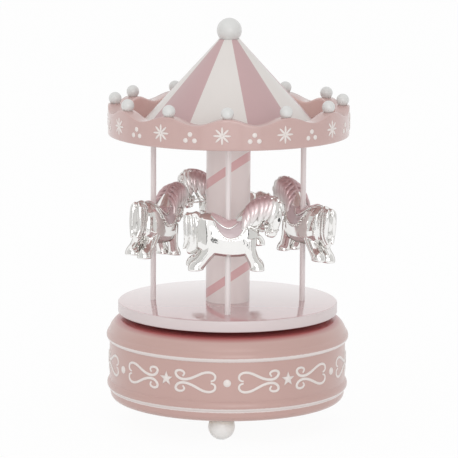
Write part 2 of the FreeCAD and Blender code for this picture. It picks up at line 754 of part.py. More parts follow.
# Drive hub: a flanged sleeve on the arbor, screwed to the underside of the turntable.
hub_bore = d.arbor_radius + d.slip
hub = turned("drive_hub", [
    (hub_bore, hub_low - d.hub_sleeve_length),
    (d.hub_sleeve_radius, hub_low - d.hub_sleeve_length),
    (d.hub_sleeve_radius, hub_low),
    (d.hub_radius, hub_low),
    (d.hub_radius, table_low),
    (hub_bore, table_low),
])
hub_screw_x, hub_screw_y = polar(hub_screw_circle, HUB_SCREW_ANGLES[0])
drill(hub, d.hub_screw_radius + d.slip, d.hub_thickness + d.overrun * 2, hub_low - d.overrun,
      hub_screw_x, hub_screw_y, len(HUB_SCREW_ANGLES))
hub_screws = []
for angle in HUB_SCREW_ANGLES:
    at_x, at_y = polar(float(hub_screw_circle), angle)
    hub_screws.append(screw(float(d.hub_screw_radius), float(d.hub_screw_length), at_x, at_y, float(hub_low)))
solid("hub_screws", Part.makeCompound(hub_screws))

# Turntable: a turned disc with sockets for the column and the poles.
table = turned("turntable", [
    (0, table_low),
    (table_radius - d.table_round, table_low, d.table_round),
    (table_radius, table_low + d.table_round),
    (table_radius, table_top - d.table_round, d.table_round),
    (table_radius - d.table_round, table_top),
    (d.tenon_radius + d.slip, table_top),
    (d.tenon_radius + d.slip, table_top - d.tenon_length - d.slip),
    (0, table_top - d.tenon_length - d.slip),
])
drill(table, d.pole_radius + d.slip, d.pole_socket + d.slip + d.overrun, table_top - d.pole_socket - d.slip,
      pole_circle, 0, len(PLACES))
hub_screw_hole = d.hub_screw_length - d.hub_thickness + d.stand_off
drill(table, d.hub_screw_radius + d.slip, hub_screw_hole + d.overrun, table_low - d.overrun,
      hub_screw_x, hub_screw_y, len(HUB_SCREW_ANGLES))

# Column: turned, with a tenon at each end.
turned("column", [
    (0, table_top - d.tenon_length),
    (d.tenon_radius, table_top - d.tenon_length),
    (d.tenon_radius, table_top),
    (d.column_radius, table_top),
    (d.column_radius, canopy_low),
    (d.tenon_radius, canopy_low),
    (d.tenon_radius, canopy_low + d.tenon_length),
    (0, canopy_low + d.tenon_length),
])

# Poles: four round rods between the turntable and the deck of the canopy.
for name, angle in PLACES.items():
    pole = turned(f"pole_{name}", [
        (0, table_top - d.pole_socket),
        (d.pole_radius, table_top - d.pole_socket),
        (d.pole_radius, canopy_low + d.pole_socket),
        (0, canopy_low + d.pole_socket),
    ])
    place(pole, *polar(pole_circle, angle))


def limb(stations):
    """A smooth limb through upright ovals: (x, y, z, half depth, half width) at each station."""
    spots = [FreeCAD.Vector(*station[:3]) for station in stations]
    rings = []
    for index, station in enumerate(stations):
        ahead = spots[min(index + 1, len(spots) - 1)] - spots[max(index - 1, 0)]
        across = FreeCAD.Vector(0, 1, 0)
        deep = across.cross(ahead).normalize()
        big, small = (deep * station[3], across * station[4])
        if station[3] < station[4]:
            big, small = small, big
        oval = Part.Ellipse(spots[index] + big, spots[index] + small, spots[index])
        rings.append(Part.Wire(oval.toShape()))
    return Part.makeLoft(rings, True, False)


def horse_shape():
    """A horse that looks along +X, its hooves on z = 0, not drilled yet. The stations are shares of the
    horse's length, width and height."""
    long, wide, tall = float(d.horse_length), float(d.horse_width), float(d.horse_height)

    def limb_of(*stations):
        return limb([(x * long, y * wide, z * tall, r * tall, w * wide) for x, y, z, r, w in stations])

    trunk = limb_of(
        (-0.323, 0, 0.515, 0.133, 0.200), (-0.286, 0, 0.512, 0.227, 0.354),
        (-0.205, 0, 0.500, 0.270, 0.462), (-0.102, 0, 0.455, 0.258, 0.492),
        (0.009, 0, 0.415, 0.233, 0.492), (0.102, 0, 0.427, 0.242, 0.485),
        (0.182, 0, 0.455, 0.239, 0.462), (0.255, 0, 0.452, 0.185, 0.369),
        (0.300, 0, 0.439, 0.091, 0.231))
    neck = limb_of(
        (0.148, 0, 0.527, 0.176, 0.385), (0.216, 0, 0.648, 0.176, 0.338),
        (0.286, 0, 0.755, 0.164, 0.292), (0.355, 0, 0.821, 0.145, 0.254),
        (0.416, 0, 0.842, 0.124, 0.231), (0.464, 0, 0.830, 0.091, 0.200))
    head = limb_of(
        (0.423, 0, 0.879, 0.076, 0.192), (0.452, 0, 0.800, 0.109, 0.231),
        (0.464, 0, 0.709, 0.106, 0.238), (0.452, 0, 0.612, 0.088, 0.208),
        (0.436, 0, 0.521, 0.079, 0.177), (0.427, 0, 0.461, 0.073, 0.162),
        (0.423, 0, 0.424, 0.042, 0.108))
    dock = limb_of(
        (-0.193, 0, 0.612, 0.067, 0.169), (-0.261, 0, 0.642, 0.048, 0.169),
        (-0.330, 0, 0.679, 0.055, 0.177), (-0.386, 0, 0.697, 0.055, 0.169))
    tail = limb_of(
        (-0.368, 0, 0.764, 0.067, 0.115), (-0.350, 0, 0.703, 0.118, 0.177),
        (-0.341, 0, 0.588, 0.136, 0.223), (-0.339, 0, 0.455, 0.139, 0.223),
        (-0.355, 0, 0.355, 0.130, 0.208), (-0.389, 0, 0.291, 0.097, 0.169),
        (-0.423, 0, 0.270, 0.058, 0.115))
    legs = []
    for side in (-0.235, 0.235):
        legs.append(limb_of(
            (0.200, side, 0.424, 0.127, 0.231), (0.214, side, 0.315, 0.094, 0.208),
            (0.223, side, 0.252, 0.082, 0.192), (0.243, side, 0.176, 0.076, 0.185),
            (0.266, side, 0.109, 0.076, 0.185), (0.286, side, 0.061, 0.091, 0.204),
            (0.293, side, 0.000, 0.098, 0.215)))
        legs.append(limb_of(
            (-0.173, side, 0.470, 0.158, 0.238), (-0.173, side, 0.348, 0.127, 0.227),
            (-0.191, side, 0.264, 0.097, 0.215), (-0.236, side, 0.176, 0.085, 0.208),
            (-0.275, side, 0.109, 0.085, 0.208), (-0.311, side, 0.061, 0.097, 0.215),
            (-0.323, side, 0.000, 0.104, 0.215)))
    return trunk.fuse([neck, head, dock, tail] + legs).removeSplitter()


# Horses: one casting four times, each turned to its own heading and drilled for its pole a little off
# true, as they are on the real object.
horse_pattern = horse_shape()
horse_middle = FreeCAD.Vector(0, 0, float(d.horse_height / 2))
bore_start = FreeCAD.Vector(0, 0, -0.5 * float(d.horse_height))
pole_bore = Part.makeCylinder(float(d.pole_radius + d.slip), 2 * float(d.horse_height), bore_start)
for name, angle in PLACES.items():
    figure = horse_pattern.copy()
    figure.rotate(horse_middle, FreeCAD.Vector(0, 1, 0), NODS[name])
    figure.translate(FreeCAD.Vector(0, SETS[name], 0))
    at_x, at_y = polar(float(pole_circle), angle)
    horse = solid(f"horse_{name}", figure.cut(pole_bore).removeSplitter())
    horse.Placement = FreeCAD.Placement(
        FreeCAD.Vector(at_x, at_y, float(table_top + d.horse_lift)),
        FreeCAD.Rotation(FreeCAD.Vector(0, 0, 1), HEADINGS[name]))

# Canopy deck: a disc on the column and the poles, inside the scalloped ring.
canopy_deck = turned("canopy_deck", [
    (d.tenon_radius + d.slip, canopy_low),
    (canopy_deck_radius, canopy_low),
    (canopy_deck_radius, canopy_deck_top),
    (0, canopy_deck_top),
    (0, canopy_low + d.tenon_length + d.slip),
    (d.tenon_radius + d.slip, canopy_low + d.tenon_length + d.slip),
])
drill(canopy_deck, d.pole_radius + d.slip, d.pole_socket + d.slip + d.overrun, canopy_low - d.overrun,
      pole_circle, 0, len(PLACES))

# Canopy ring: a turned ring whose top edge is cut into twelve smooth waves.
ring = turned("canopy_ring", [
    (ring_inner, canopy_low),
    (ring_radius, canopy_low),
    (ring_radius, ring_top),
    (ring_inner, ring_top),
])
rim_pin_hole = d.rim_pin_length + d.slip
drill(ring, d.rim_pin_radius + d.slip, rim_pin_hole + d.overrun, ring_top - rim_pin_hole,
      *polar(ring_middle, -90 + 180 / SCALLOPS), SCALLOPS)
wave_half = ring_middle * math.pi / SCALLOPS
wave_drop = d.scallop_depth / 2
wave_round = (wave_half * wave_half / 4 + wave_drop * wave_drop) / d.scallop_depth
wave_middle = ring_top - wave_drop
scallop = outline(ring, [
    (-wave_half, ring_top, -wave_round),
    (-wave_half / 2, wave_middle, wave_round),
    (wave_half / 2, wave_middle, -wave_round),
    (wave_half, ring_top),
    (wave_half, ring_top + d.scallop_depth),
    (-wave_half, ring_top + d.scallop_depth),
])
uncut = ring.Shape.Volume
scoop = ring.newObject("PartDesign::Pocket", "scoop")
scoop.Profile = scallop
scoop.Reversed = True
bind(scoop, Length=ring_radius + d.scallop_depth)
doc.recompute()
scoops = ring.newObject("PartDesign::PolarPattern", "scoops")
scoops.Originals = [scoop]
scoops.Axis = (origin_feature(ring, "Z_Axis"), [""])
scoops.Angle = 360
scoops.Occurrences = SCALLOPS
ring.Tip = scoops
doc.recompute()
if ring.Shape.Volume >= uncut:
    raise RuntimeError("the scallops cut nothing")
ring.Placement.Rotation = FreeCAD.Rotation(FreeCAD.Vector(0, 0, 1), VALLEY_TURN)


def rim_ball(angle):
    """A ball with a pin, flat where it sits on its crest."""
    x, y = polar(float(ring_middle), angle)
    seat = float(ring_top)
    radius = float(d.rim_ball_radius)
    ball = Part.makeSphere(radius, FreeCAD.Vector(x, y, seat + float(d.rim_ball_rise)))
    corner = FreeCAD.Vector(x - 2 * radius, y - 2 * radius, seat - radius)
    below = Part.makeBox(4 * radius, 4 * radius, radius, corner)
    length = float(d.rim_pin_length)
    pin = Part.makeCylinder(float(d.rim_pin_radius), length + radius / 2, FreeCAD.Vector(x, y, seat - length))
    return ball.cut(below).fuse(pin).removeSplitter()


solid("rim_balls", Part.makeCompound([
    rim_ball(-90 + VALLEY_TURN + 180 / SCALLOPS + 360 * index / SCALLOPS) for index in range(SCALLOPS)]))

# Cone: turned, glued on the deck, bored at the top for the finial's dowel.
finial_hole = d.finial_dowel_radius + d.slip
turned("canopy_cone", [
    (0, canopy_deck_top),
    (cone_radius, canopy_deck_top),
    (d.cone_top_radius, cone_top),
    (finial_hole, cone_top),
    (finial_hole, cone_top - d.finial_dowel_length - d.slip),
    (0, cone_top - d.finial_dowel_length - d.slip),
])

# Finial: a turned ball with a dowel, flat where it sits on the cone.
finial_seat = (d.finial_radius * d.finial_radius - d.finial_rise * d.finial_rise).root()
finial_waist = cone_top + d.finial_rise
turned("finial_ball", [
    (0, cone_top - d.finial_dowel_length),
    (d.finial_dowel_radius, cone_top - d.finial_dowel_length),
    (d.finial_dowel_radius, cone_top),
    (finial_seat, cone_top, d.finial_radius),
    (d.finial_radius, finial_waist, d.finial_radius),
    (0, finial_waist + d.finial_radius),
])


def spur_wheel(teeth, module, width, bore, x, y, z, turn, tip_share, root_share):
    """A spur wheel about +X. Its first tooth points at the angle turn, from +Y towards +Z."""
    pitch_radius = module * teeth / 2
    tip_radius = pitch_radius + TOOTH_ADD * module
    root_radius = pitch_radius - TOOTH_DED * module
    pitch = math.pi * module
    tip_half = tip_share * pitch / 2 / tip_radius
    root_half = root_share * pitch / 2 / root_radius
    step = 2 * math.pi / teeth

    def spot(angle, radius):
        return FreeCAD.Vector(x, y + radius * math.cos(angle), z + radius * math.sin(angle))

    edges = []
    for index in range(teeth):
        middle = turn + index * step
        rise = [spot(middle - root_half, root_radius), spot(middle - tip_half, tip_radius)]
        fall = [spot(middle + tip_half, tip_radius), spot(middle + root_half, root_radius)]
        onward = spot(middle + step - root_half, root_radius)
        edges.append(Part.LineSegment(*rise).toShape())
        edges.append(Part.Arc(rise[1], spot(middle, tip_radius), fall[0]).toShape())
        edges.append(Part.LineSegment(*fall).toShape())
        edges.append(Part.Arc(fall[1], spot(middle + step / 2, root_radius), onward).toShape())
    rim = Part.Face(Part.Wire(edges)).extrude(FreeCAD.Vector(width, 0, 0))
    over = float(d.overrun)
    hole = Part.makeCylinder(bore, width + 2 * over, FreeCAD.Vector(x - over, y, z), FreeCAD.Vector(1, 0, 0))
    return rim.cut(hole)


def axle(radius, start, finish, y):
    """A round shaft along +X at the height of the gear train."""
    return Part.makeCylinder(radius, finish - start, FreeCAD.Vector(start, y, float(axis_z)),
                             FreeCAD.Vector(1, 0, 0))


def pinned_cylinder():
    """A brass drum with pins in rows, one row for each note; steps of 7 notes spread them out."""
    radius = float(d.cylinder_radius)
    start = float(drum_start)
    height = float(d.pin_height)
    drum_shape = axle(radius, start, start + float(drum_length), 0)
    pins = []
    for index in range(PINS):
        row_x = start + (index * 7 % NOTES + 0.5) * float(d.note_pitch)
        angle = 2 * math.pi * (index + 0.5) / PINS
        out = FreeCAD.Vector(0, math.cos(angle), math.sin(angle))
        foot_spot = FreeCAD.Vector(row_x, 0, float(axis_z)) + out * (radius - height)
        pins.append(Part.makeCylinder(float(d.pin_radius), 2 * height, foot_spot, out))
    bore = axle(float(d.axle_radius + d.slip), start - height, start + float(drum_length) + height, 0)
    return drum_shape.fuse(pins).cut(bore)


# Cylinder group: drum, pinion and wheel pressed on one arbor.
axle_bore = float(d.axle_radius + d.slip)
cylinder_end = end_post_start + d.post_thickness + d.axle_reach
solid("cylinder_arbor", axle(
    float(d.axle_radius), float(pinion_start - d.axle_reach), float(cylinder_end), 0))
solid("music_cylinder", pinned_cylinder())
solid("cylinder_pinion", spur_wheel(
    int(d.cylinder_pinion_teeth.number), float(d.crown_module), float(pinion_width), axle_bore,
    float(pinion_start), 0, float(axis_z), math.pi / 2, PINION_TIP, PINION_ROOT))
solid("cylinder_wheel", spur_wheel(
    int(d.cylinder_wheel_teeth.number), float(d.train_module), float(d.wheel_width), axle_bore,
    float(wheel_start), 0, float(axis_z), 0, WHEEL_TIP, WHEEL_ROOT))

# Layshaft group: a pinion driven by the cylinder's wheel, and the wheel that drives the worm.
lay_bore = float(d.lay_axle_radius + d.slip)
lay_teeth = int(d.lay_pinion_teeth.number)
worm_teeth = int(d.worm_wheel_teeth.number)
solid("layshaft", axle(
    float(d.lay_axle_radius), float(lay_post_start - d.axle_reach), float(lay_end + d.axle_reach),
    float(lay_y)))
solid("layshaft_pinion", spur_wheel(
    lay_teeth, float(d.train_module), float(lay_pinion_width), lay_bore, float(lay_pinion_start),
    float(lay_y), float(axis_z), math.pi + math.pi / lay_teeth, PINION_TIP, PINION_ROOT))
solid("worm_wheel", spur_wheel(
    worm_teeth, float(d.train_module), float(d.wheel_width), lay_bore, float(worm_wheel_start),
    float(lay_y), float(axis_z), math.pi / worm_teeth, WORM_TIP, WORM_ROOT))


def worm_shape():
    """The fan's upright shaft with pivots, and one right-hand thread that fills a gap of its wheel."""
    x, y = float(worm_x), float(worm_y)
    core = float(fan_shaft_radius)
    pitch = float(worm_pitch)
    length = float(d.worm_length)
    low = float(bridge_top + d.pivot_gap)
    high = float(bedplate_under - d.pivot_gap)
    shaft = Part.makeCylinder(core, high - low, FreeCAD.Vector(x, y, low))
    pivot_low = float(bridge_low - d.pivot_gap)
    pivot_high = float(deck_under - d.stand_off)
    pivot = Part.makeCylinder(float(d.pivot_radius), pivot_high - pivot_low, FreeCAD.Vector(x, y, pivot_low))
    turns = math.floor(length / pitch / 2) * 2
    tip = float(d.worm_radius + train_add)
    inner = 0.87 * core
    root_half, tip_half = 0.14 * pitch, 0.08 * pitch
    section = [FreeCAD.Vector(inner, 0, -root_half), FreeCAD.Vector(tip, 0, -tip_half),
               FreeCAD.Vector(tip, 0, tip_half), FreeCAD.Vector(inner, 0, root_half)]
    helix = Part.makeHelix(pitch, turns * pitch, core)
    thread = Part.Wire(helix).makePipeShell([Part.makePolygon(section + section[:1])], True, True)
    thread.rotate(FreeCAD.Vector(), FreeCAD.Vector(0, 0, 1), -90)
    thread.translate(FreeCAD.Vector(x, y, float(axis_z) - turns / 2 * pitch))
    return shaft.fuse([pivot, thread])


def fan_shape():
    """A hub with two flat blades that brake the train in the air."""
    x, y, z = float(worm_x), float(worm_y), float(fan_z)
    reach, height = float(d.fan_radius), float(d.fan_height)
    thick = float(d.fan_thickness)
    core = float(fan_shaft_radius + d.slip)
    hub_shape = Part.makeCylinder(core + thick, height, FreeCAD.Vector(x, y, z))
    blades = Part.makeBox(2 * reach, thick, height, FreeCAD.Vector(x - reach, y - thick / 2, z))
    bore = Part.makeCylinder(core, height + 2 * thick, FreeCAD.Vector(x, y, z - thick))
    return hub_shape.fuse(blades).cut(bore)


# Governor group: the worm's shaft and the fan on it.
solid("governor_worm", worm_shape())
solid("governor_fan", fan_shape())

doc.recompute()
failed = [thing.Label for thing in doc.Objects if {"Invalid", "Error"} & set(thing.State)]
failed += [thing.Label for thing in nodes if thing.Shape.isNull() or not thing.Shape.isValid()]
if failed:
    raise RuntimeError(f"these did not build: {failed}")
os.makedirs("parts", exist_ok=True)
for thing in nodes:
    thing.Shape.exportStep(f"parts/{thing.Label}.step")
print(len(nodes), "pieces written")
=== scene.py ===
import bmesh
import bpy
import json
import math
from mathutils import Matrix, Vector


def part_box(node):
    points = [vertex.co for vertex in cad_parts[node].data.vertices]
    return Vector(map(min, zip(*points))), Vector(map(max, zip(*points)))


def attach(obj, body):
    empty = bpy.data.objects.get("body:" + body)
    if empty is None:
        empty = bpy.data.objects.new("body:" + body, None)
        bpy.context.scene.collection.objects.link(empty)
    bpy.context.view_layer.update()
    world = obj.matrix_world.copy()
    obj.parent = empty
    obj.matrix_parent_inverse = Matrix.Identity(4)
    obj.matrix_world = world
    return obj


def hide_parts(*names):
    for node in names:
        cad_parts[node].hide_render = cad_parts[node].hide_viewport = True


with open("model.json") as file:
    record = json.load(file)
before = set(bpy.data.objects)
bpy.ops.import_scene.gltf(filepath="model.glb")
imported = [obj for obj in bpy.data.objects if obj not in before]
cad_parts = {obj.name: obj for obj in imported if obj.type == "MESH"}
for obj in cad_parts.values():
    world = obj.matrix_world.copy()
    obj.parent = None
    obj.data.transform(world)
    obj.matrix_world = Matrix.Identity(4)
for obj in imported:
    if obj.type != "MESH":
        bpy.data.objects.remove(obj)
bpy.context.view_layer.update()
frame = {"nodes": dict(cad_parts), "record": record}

MM = 0.001


# Base drum: turned from wood, with a bead above and below a plain wall, and closed on top by a thick deck.
# Sprayed with pink satin lacquer; a white line is brushed into the groove beside each bead. The top of the
# drum under the turntable is painted dark red, as painted shade for the narrow gap beneath the turntable.
BASE_BOTTOM, EDGE_TOP, BEAD_LOW, WALL_LOW = 11.0, 13.6, 15.6, 20.2
WALL_HIGH, SHOULDER_LOW, RIM_TOP = 37.9, 42.5, 48.2
WALL_RADIUS, EDGE_RADIUS, SHOULDER_RADIUS, RIM_RADIUS = 53.85, 53.5, 54.15, 49.3
EDGE_ROUND, BEAD_ROUND, SHOULDER_ROUND = 3.1, 2.76, 8.55
SOLE_RADIUS, COVER_RADIUS, COVER_TOP = 51.4, 48.0, 14.5
CHAMBER_RADIUS, HUB_HOLE, DECK_UNDER = 45.5, 5.2, 37.0
LINE_HEIGHTS = (16.1, 38.9)
LINE_HALF = 0.95
# Between these heights the top of the drum turns dark red: painted shade under the turntable.
GAP_SHADE_LOW, GAP_SHADE_FULL = 46.3, 48.0
PINK = (0.545, 0.352, 0.318)
WHITE_PAINT = (0.78, 0.71, 0.69)
GAP_SHADE_RED = (0.42, 0.11, 0.11)


def bow(start, end, radius, count=8):
    """Points of an arc that bulges to the right of the way from start to end, without its end."""
    a, b = Vector(start), Vector(end)
    half = (b - a) / 2
    left = Vector((-half.y, half.x)).normalized()
    centre = a + half + left * math.sqrt(radius ** 2 - half.length_squared)
    first = a - centre
    sweep = 2 * math.asin(half.length / radius)
    turns = [Matrix.Rotation(sweep * step / count, 2) for step in range(count)]
    return [tuple(centre + turn @ first) for turn in turns]


def settle(mesh, name, sharp=40):
    """Turn a finished bmesh into a smooth-shaded object at the origin."""
    data = bpy.data.meshes.new(name)
    mesh.to_mesh(data)
    mesh.free()
    data.shade_smooth()
    data.set_sharp_from_angle(angle=math.radians(sharp))
    piece = bpy.data.objects.new(name, data)
    bpy.context.collection.objects.link(piece)
    return piece


def lathe(outline, steps=180):
    """Spin a closed outline of (radius, height) in millimetres about the Z axis."""
    mesh = bmesh.new()
    ring = [mesh.verts.new((radius * MM, 0, height * MM)) for radius, height in outline]
    edges = [mesh.edges.new(pair) for pair in zip(ring, ring[1:] + ring[:1])]
    bmesh.ops.spin(mesh, geom=ring + edges, axis=(0, 0, 1), angle=math.tau, steps=steps, use_merge=True)
    bmesh.ops.remove_doubles(mesh, verts=mesh.verts, dist=0.002 * MM)
    bmesh.ops.recalc_face_normals(mesh, faces=mesh.faces)
    return mesh


def shader(name):
    """A new material, its node tree and its principled shader."""
    material = bpy.data.materials.new(name)
    material.use_nodes = True
    tree = material.node_tree
    return material, tree, tree.nodes["Principled BSDF"]


def sum_node(tree, operation, *values):
    """A math node whose inputs are sockets or numbers."""
    node = tree.nodes.new("ShaderNodeMath")
    node.operation = operation
    for socket, value in zip(node.inputs, values):
        if isinstance(value, (int, float)):
            socket.default_value = value
        else:
            tree.links.new(value, socket)
    return node.outputs[0]


def mixed(tree, factor, low, high):
    """Mix two colours, given as sockets or as plain colours, by a mask."""
    node = tree.nodes.new("ShaderNodeMix")
    node.data_type = "RGBA"
    tree.links.new(factor, node.inputs["Factor"])
    for socket, value in zip((node.inputs[6], node.inputs[7]), (low, high)):
        if isinstance(value, tuple):
            socket.default_value = (*value, 1)
        else:
            tree.links.new(value, socket)
    return node.outputs[2]


def build_finish():
    """Group for every hand-finished surface: cloudy colour, uneven gloss and a fine spray texture."""
    group = bpy.data.node_groups.new("hand_finish", "ShaderNodeTree")
    for name, kind in (("Vector", "NodeSocketVector"), ("Colour", "NodeSocketColor"),
                       ("Clouding", "NodeSocketFloat"), ("Cloud scale", "NodeSocketFloat"),
                       ("Gloss", "NodeSocketFloat"), ("Unevenness", "NodeSocketFloat"),
                       ("Grain scale", "NodeSocketFloat")):
        group.interface.new_socket(name, in_out="INPUT", socket_type=kind)
    for name, kind in (("Colour", "NodeSocketColor"), ("Roughness", "NodeSocketFloat"),
                       ("Height", "NodeSocketFloat")):
        group.interface.new_socket(name, in_out="OUTPUT", socket_type=kind)
    given = group.nodes.new("NodeGroupInput").outputs
    result = group.nodes.new("NodeGroupOutput").inputs
    clouds = group.nodes.new("ShaderNodeTexNoise")
    clouds.inputs["Detail"].default_value = 3
    group.links.new(given["Vector"], clouds.inputs["Vector"])
    group.links.new(given["Cloud scale"], clouds.inputs["Scale"])
    grain = group.nodes.new("ShaderNodeTexNoise")
    grain.inputs["Detail"].default_value = 2
    group.links.new(given["Vector"], grain.inputs["Vector"])
    group.links.new(given["Grain scale"], grain.inputs["Scale"])
    swing = sum_node(group, "SUBTRACT", clouds.outputs["Fac"], 0.5)
    shade = sum_node(group, "MULTIPLY_ADD", swing, given["Clouding"], 1.0)
    tint = group.nodes.new("ShaderNodeVectorMath")
    tint.operation = "SCALE"
    group.links.new(given["Colour"], tint.inputs[0])
    group.links.new(shade, tint.inputs["Scale"])
    group.links.new(tint.outputs[0], result["Colour"])
    spread = sum_node(group, "MULTIPLY", swing, given["Unevenness"])
    group.links.new(sum_node(group, "ADD", spread, given["Gloss"]), result["Roughness"])
    group.links.new(grain.outputs["Fac"], result["Height"])
    return group


hand_finish = build_finish()


def finish(tree, bsdf, colour, clouding=0.06, cloud_scale=40, gloss=0.2, unevenness=0.1,
           grain_scale=1500, relief=0.02, turn=(0, 0, 0), stretch=(1, 1, 1)):
    """Dress a shader in the shared finish; colour is a socket or a plain colour."""
    place = tree.nodes.new("ShaderNodeTexCoord")
    mapping = tree.nodes.new("ShaderNodeMapping")
    mapping.inputs["Rotation"].default_value = turn
    mapping.inputs["Scale"].default_value = stretch
    tree.links.new(place.outputs["Object"], mapping.inputs["Vector"])
    group = tree.nodes.new("ShaderNodeGroup")
    group.node_tree = hand_finish
    tree.links.new(mapping.outputs["Vector"], group.inputs["Vector"])
    if isinstance(colour, tuple):
        group.inputs["Colour"].default_value = (*colour, 1)
    else:
        tree.links.new(colour, group.inputs["Colour"])
    group.inputs["Clouding"].default_value = clouding
    group.inputs["Cloud scale"].default_value = cloud_scale
    group.inputs["Gloss"].default_value = gloss
    group.inputs["Unevenness"].default_value = unevenness
    group.inputs["Grain scale"].default_value = grain_scale
    tree.links.new(group.outputs["Colour"], bsdf.inputs["Base Color"])
    tree.links.new(group.outputs["Roughness"], bsdf.inputs["Roughness"])
    bump = tree.nodes.new("ShaderNodeBump")
    bump.inputs["Strength"].default_value = 0.3
    bump.inputs["Distance"].default_value = relief * MM
    tree.links.new(group.outputs["Height"], bump.inputs["Height"])
    tree.links.new(bump.outputs["Normal"], bsdf.inputs["Normal"])


def position(tree):
    """The three object coordinates of the surface, in metres."""
    place = tree.nodes.new("ShaderNodeTexCoord")
    split = tree.nodes.new("ShaderNodeSeparateXYZ")
    tree.links.new(place.outputs["Object"], split.inputs[0])
    return split.outputs


def lacquer(name, colour, coat=0.35, gloss=0.36, coat_gloss=0.25):
    """Sprayed lacquer over turned wood."""
    material, tree, bsdf = shader(name)
    finish(tree, bsdf, colour, gloss=gloss)
    bsdf.inputs["Coat Weight"].default_value = coat
    bsdf.inputs["Coat Roughness"].default_value = coat_gloss
    return material


def dress(piece, *materials):
    """Give a piece its materials in order."""
    if piece.data.materials:
        piece.data.materials.clear()
    for material in materials:
        piece.data.materials.append(material)
    return piece


def base_lacquer():
    material, tree, bsdf = shader("base_pink_lacquer")
    z = position(tree)["Z"]
    brush = tree.nodes.new("ShaderNodeTexNoise")
    brush.inputs["Scale"].default_value = 120
    wander = sum_node(tree, "MULTIPLY", sum_node(tree, "SUBTRACT", brush.outputs["Fac"], 0.5), 0.35 * MM)
    height = sum_node(tree, "ADD", z, wander)
    lines = [sum_node(tree, "COMPARE", height, middle * MM, LINE_HALF * MM) for middle in LINE_HEIGHTS]
    white = sum_node(tree, "MAXIMUM", *lines)
    # Painted shade: dark red over the top of the drum, where the turntable shades the gap.
    gap_shade = sum_node(tree, "SMOOTH_MIN", sum_node(
        tree, "MAXIMUM", sum_node(tree, "MULTIPLY_ADD", z, 1 / ((GAP_SHADE_FULL - GAP_SHADE_LOW) * MM),
                                  -GAP_SHADE_LOW / (GAP_SHADE_FULL - GAP_SHADE_LOW)), 0.0), 1.0, 0.3)
    colour = mixed(tree, gap_shade, mixed(tree, white, PINK, WHITE_PAINT), GAP_SHADE_RED)
    finish(tree, bsdf, colour, gloss=0.38)
    bsdf.inputs["Coat Weight"].default_value = 0.6
    bsdf.inputs["Coat Roughness"].default_value = 0.2
    return material


base_outline = (
    [(COVER_RADIUS, BASE_BOTTOM)]
    + bow((SOLE_RADIUS, BASE_BOTTOM), (EDGE_RADIUS, EDGE_TOP), EDGE_ROUND)
    + [(EDGE_RADIUS, EDGE_TOP)]
    + bow((EDGE_RADIUS, BEAD_LOW), (WALL_RADIUS, WALL_LOW), BEAD_ROUND, 14)
    + [(WALL_RADIUS, WALL_LOW)]
    + bow((WALL_RADIUS, WALL_HIGH), (SHOULDER_RADIUS, SHOULDER_LOW), BEAD_ROUND, 14)
    + bow((SHOULDER_RADIUS, SHOULDER_LOW), (RIM_RADIUS, RIM_TOP), SHOULDER_ROUND, 12)
    + [(RIM_RADIUS, RIM_TOP), (HUB_HOLE, RIM_TOP), (HUB_HOLE, DECK_UNDER), (CHAMBER_RADIUS, DECK_UNDER),
       (CHAMBER_RADIUS, COVER_TOP), (COVER_RADIUS, COVER_TOP)])
base_drum = dress(settle(lathe(base_outline), "base_drum"), base_lacquer())
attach(base_drum, "base")
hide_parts("base_body", "base_deck")


# Base ornament: six repeats of a dot, a pair of scrolls and a star, piped on the wall in thick white
# paint, so that each stroke stands a little proud of the lacquer and has a rounded back.
ORNAMENT_HEIGHT = 29.0
REPEAT = math.tau / 6
SCROLL = ((7.28, 0.48), (5.75, 0.68), (5.07, 1.88), (5.41, 3.59), (7.44, 4.58), (10.18, 4.33),
          (12.92, 3.04), (15.73, 1.54), (18.57, 0.70), (21.14, 0.71), (22.99, 1.78), (23.77, 3.42),
          (22.99, 4.53), (21.14, 4.80), (19.49, 4.20), (19.10, 3.20), (20.15, 2.17))
STROKE_HALF, STROKE_END = 0.66, 0.40
STROKE_RISE = 0.6
BASE_DOT, BASE_STAR = 1.75, 3.3
DOT_RISE, STAR_RISE = 0.55, 0.5
STAR_WAIST = 0.42


def wrap(verts, radius, angle, height):
    """Bend flat work (x along, y up, z out, in millimetres) on to a wall of the given radius."""
    for vert in verts:
        turn = angle + vert.co.x / radius - math.pi / 2
        reach = radius + vert.co.z
        vert.co = Vector((reach * math.cos(turn), reach * math.sin(turn), height + vert.co.y)) * MM


def add_dot(mesh, radius, rise, at=(0, 0)):
    """A flattened bead of paint in flat work."""
    place = Matrix.Translation((*at, 0)) @ Matrix.Diagonal((radius, radius, rise, 1))
    made = bmesh.ops.create_uvsphere(mesh, u_segments=24, v_segments=12, radius=1, matrix=place)
    return made["verts"]


def add_star(mesh, points, outer, inner, rise):
    """A raised star in flat work, with its middle higher than its tips."""
    earlier = set(mesh.verts)
    rim = []
    for step in range(2 * points):
        reach = inner if step % 2 else outer
        angle = math.pi / 2 + math.pi * step / points
        rim.append(mesh.verts.new((reach * math.cos(angle), reach * math.sin(angle), -0.2)))
    face = mesh.faces.new(rim)
    walls = bmesh.ops.extrude_discrete_faces(mesh, faces=[face])["faces"]
    top = walls[0]
    bmesh.ops.translate(mesh, verts=top.verts, vec=(0, 0, 0.2 + rise * 0.6))
    bmesh.ops.inset_individual(mesh, faces=[top], thickness=inner * 0.35, depth=rise * 0.4)
    return set(mesh.verts) - earlier


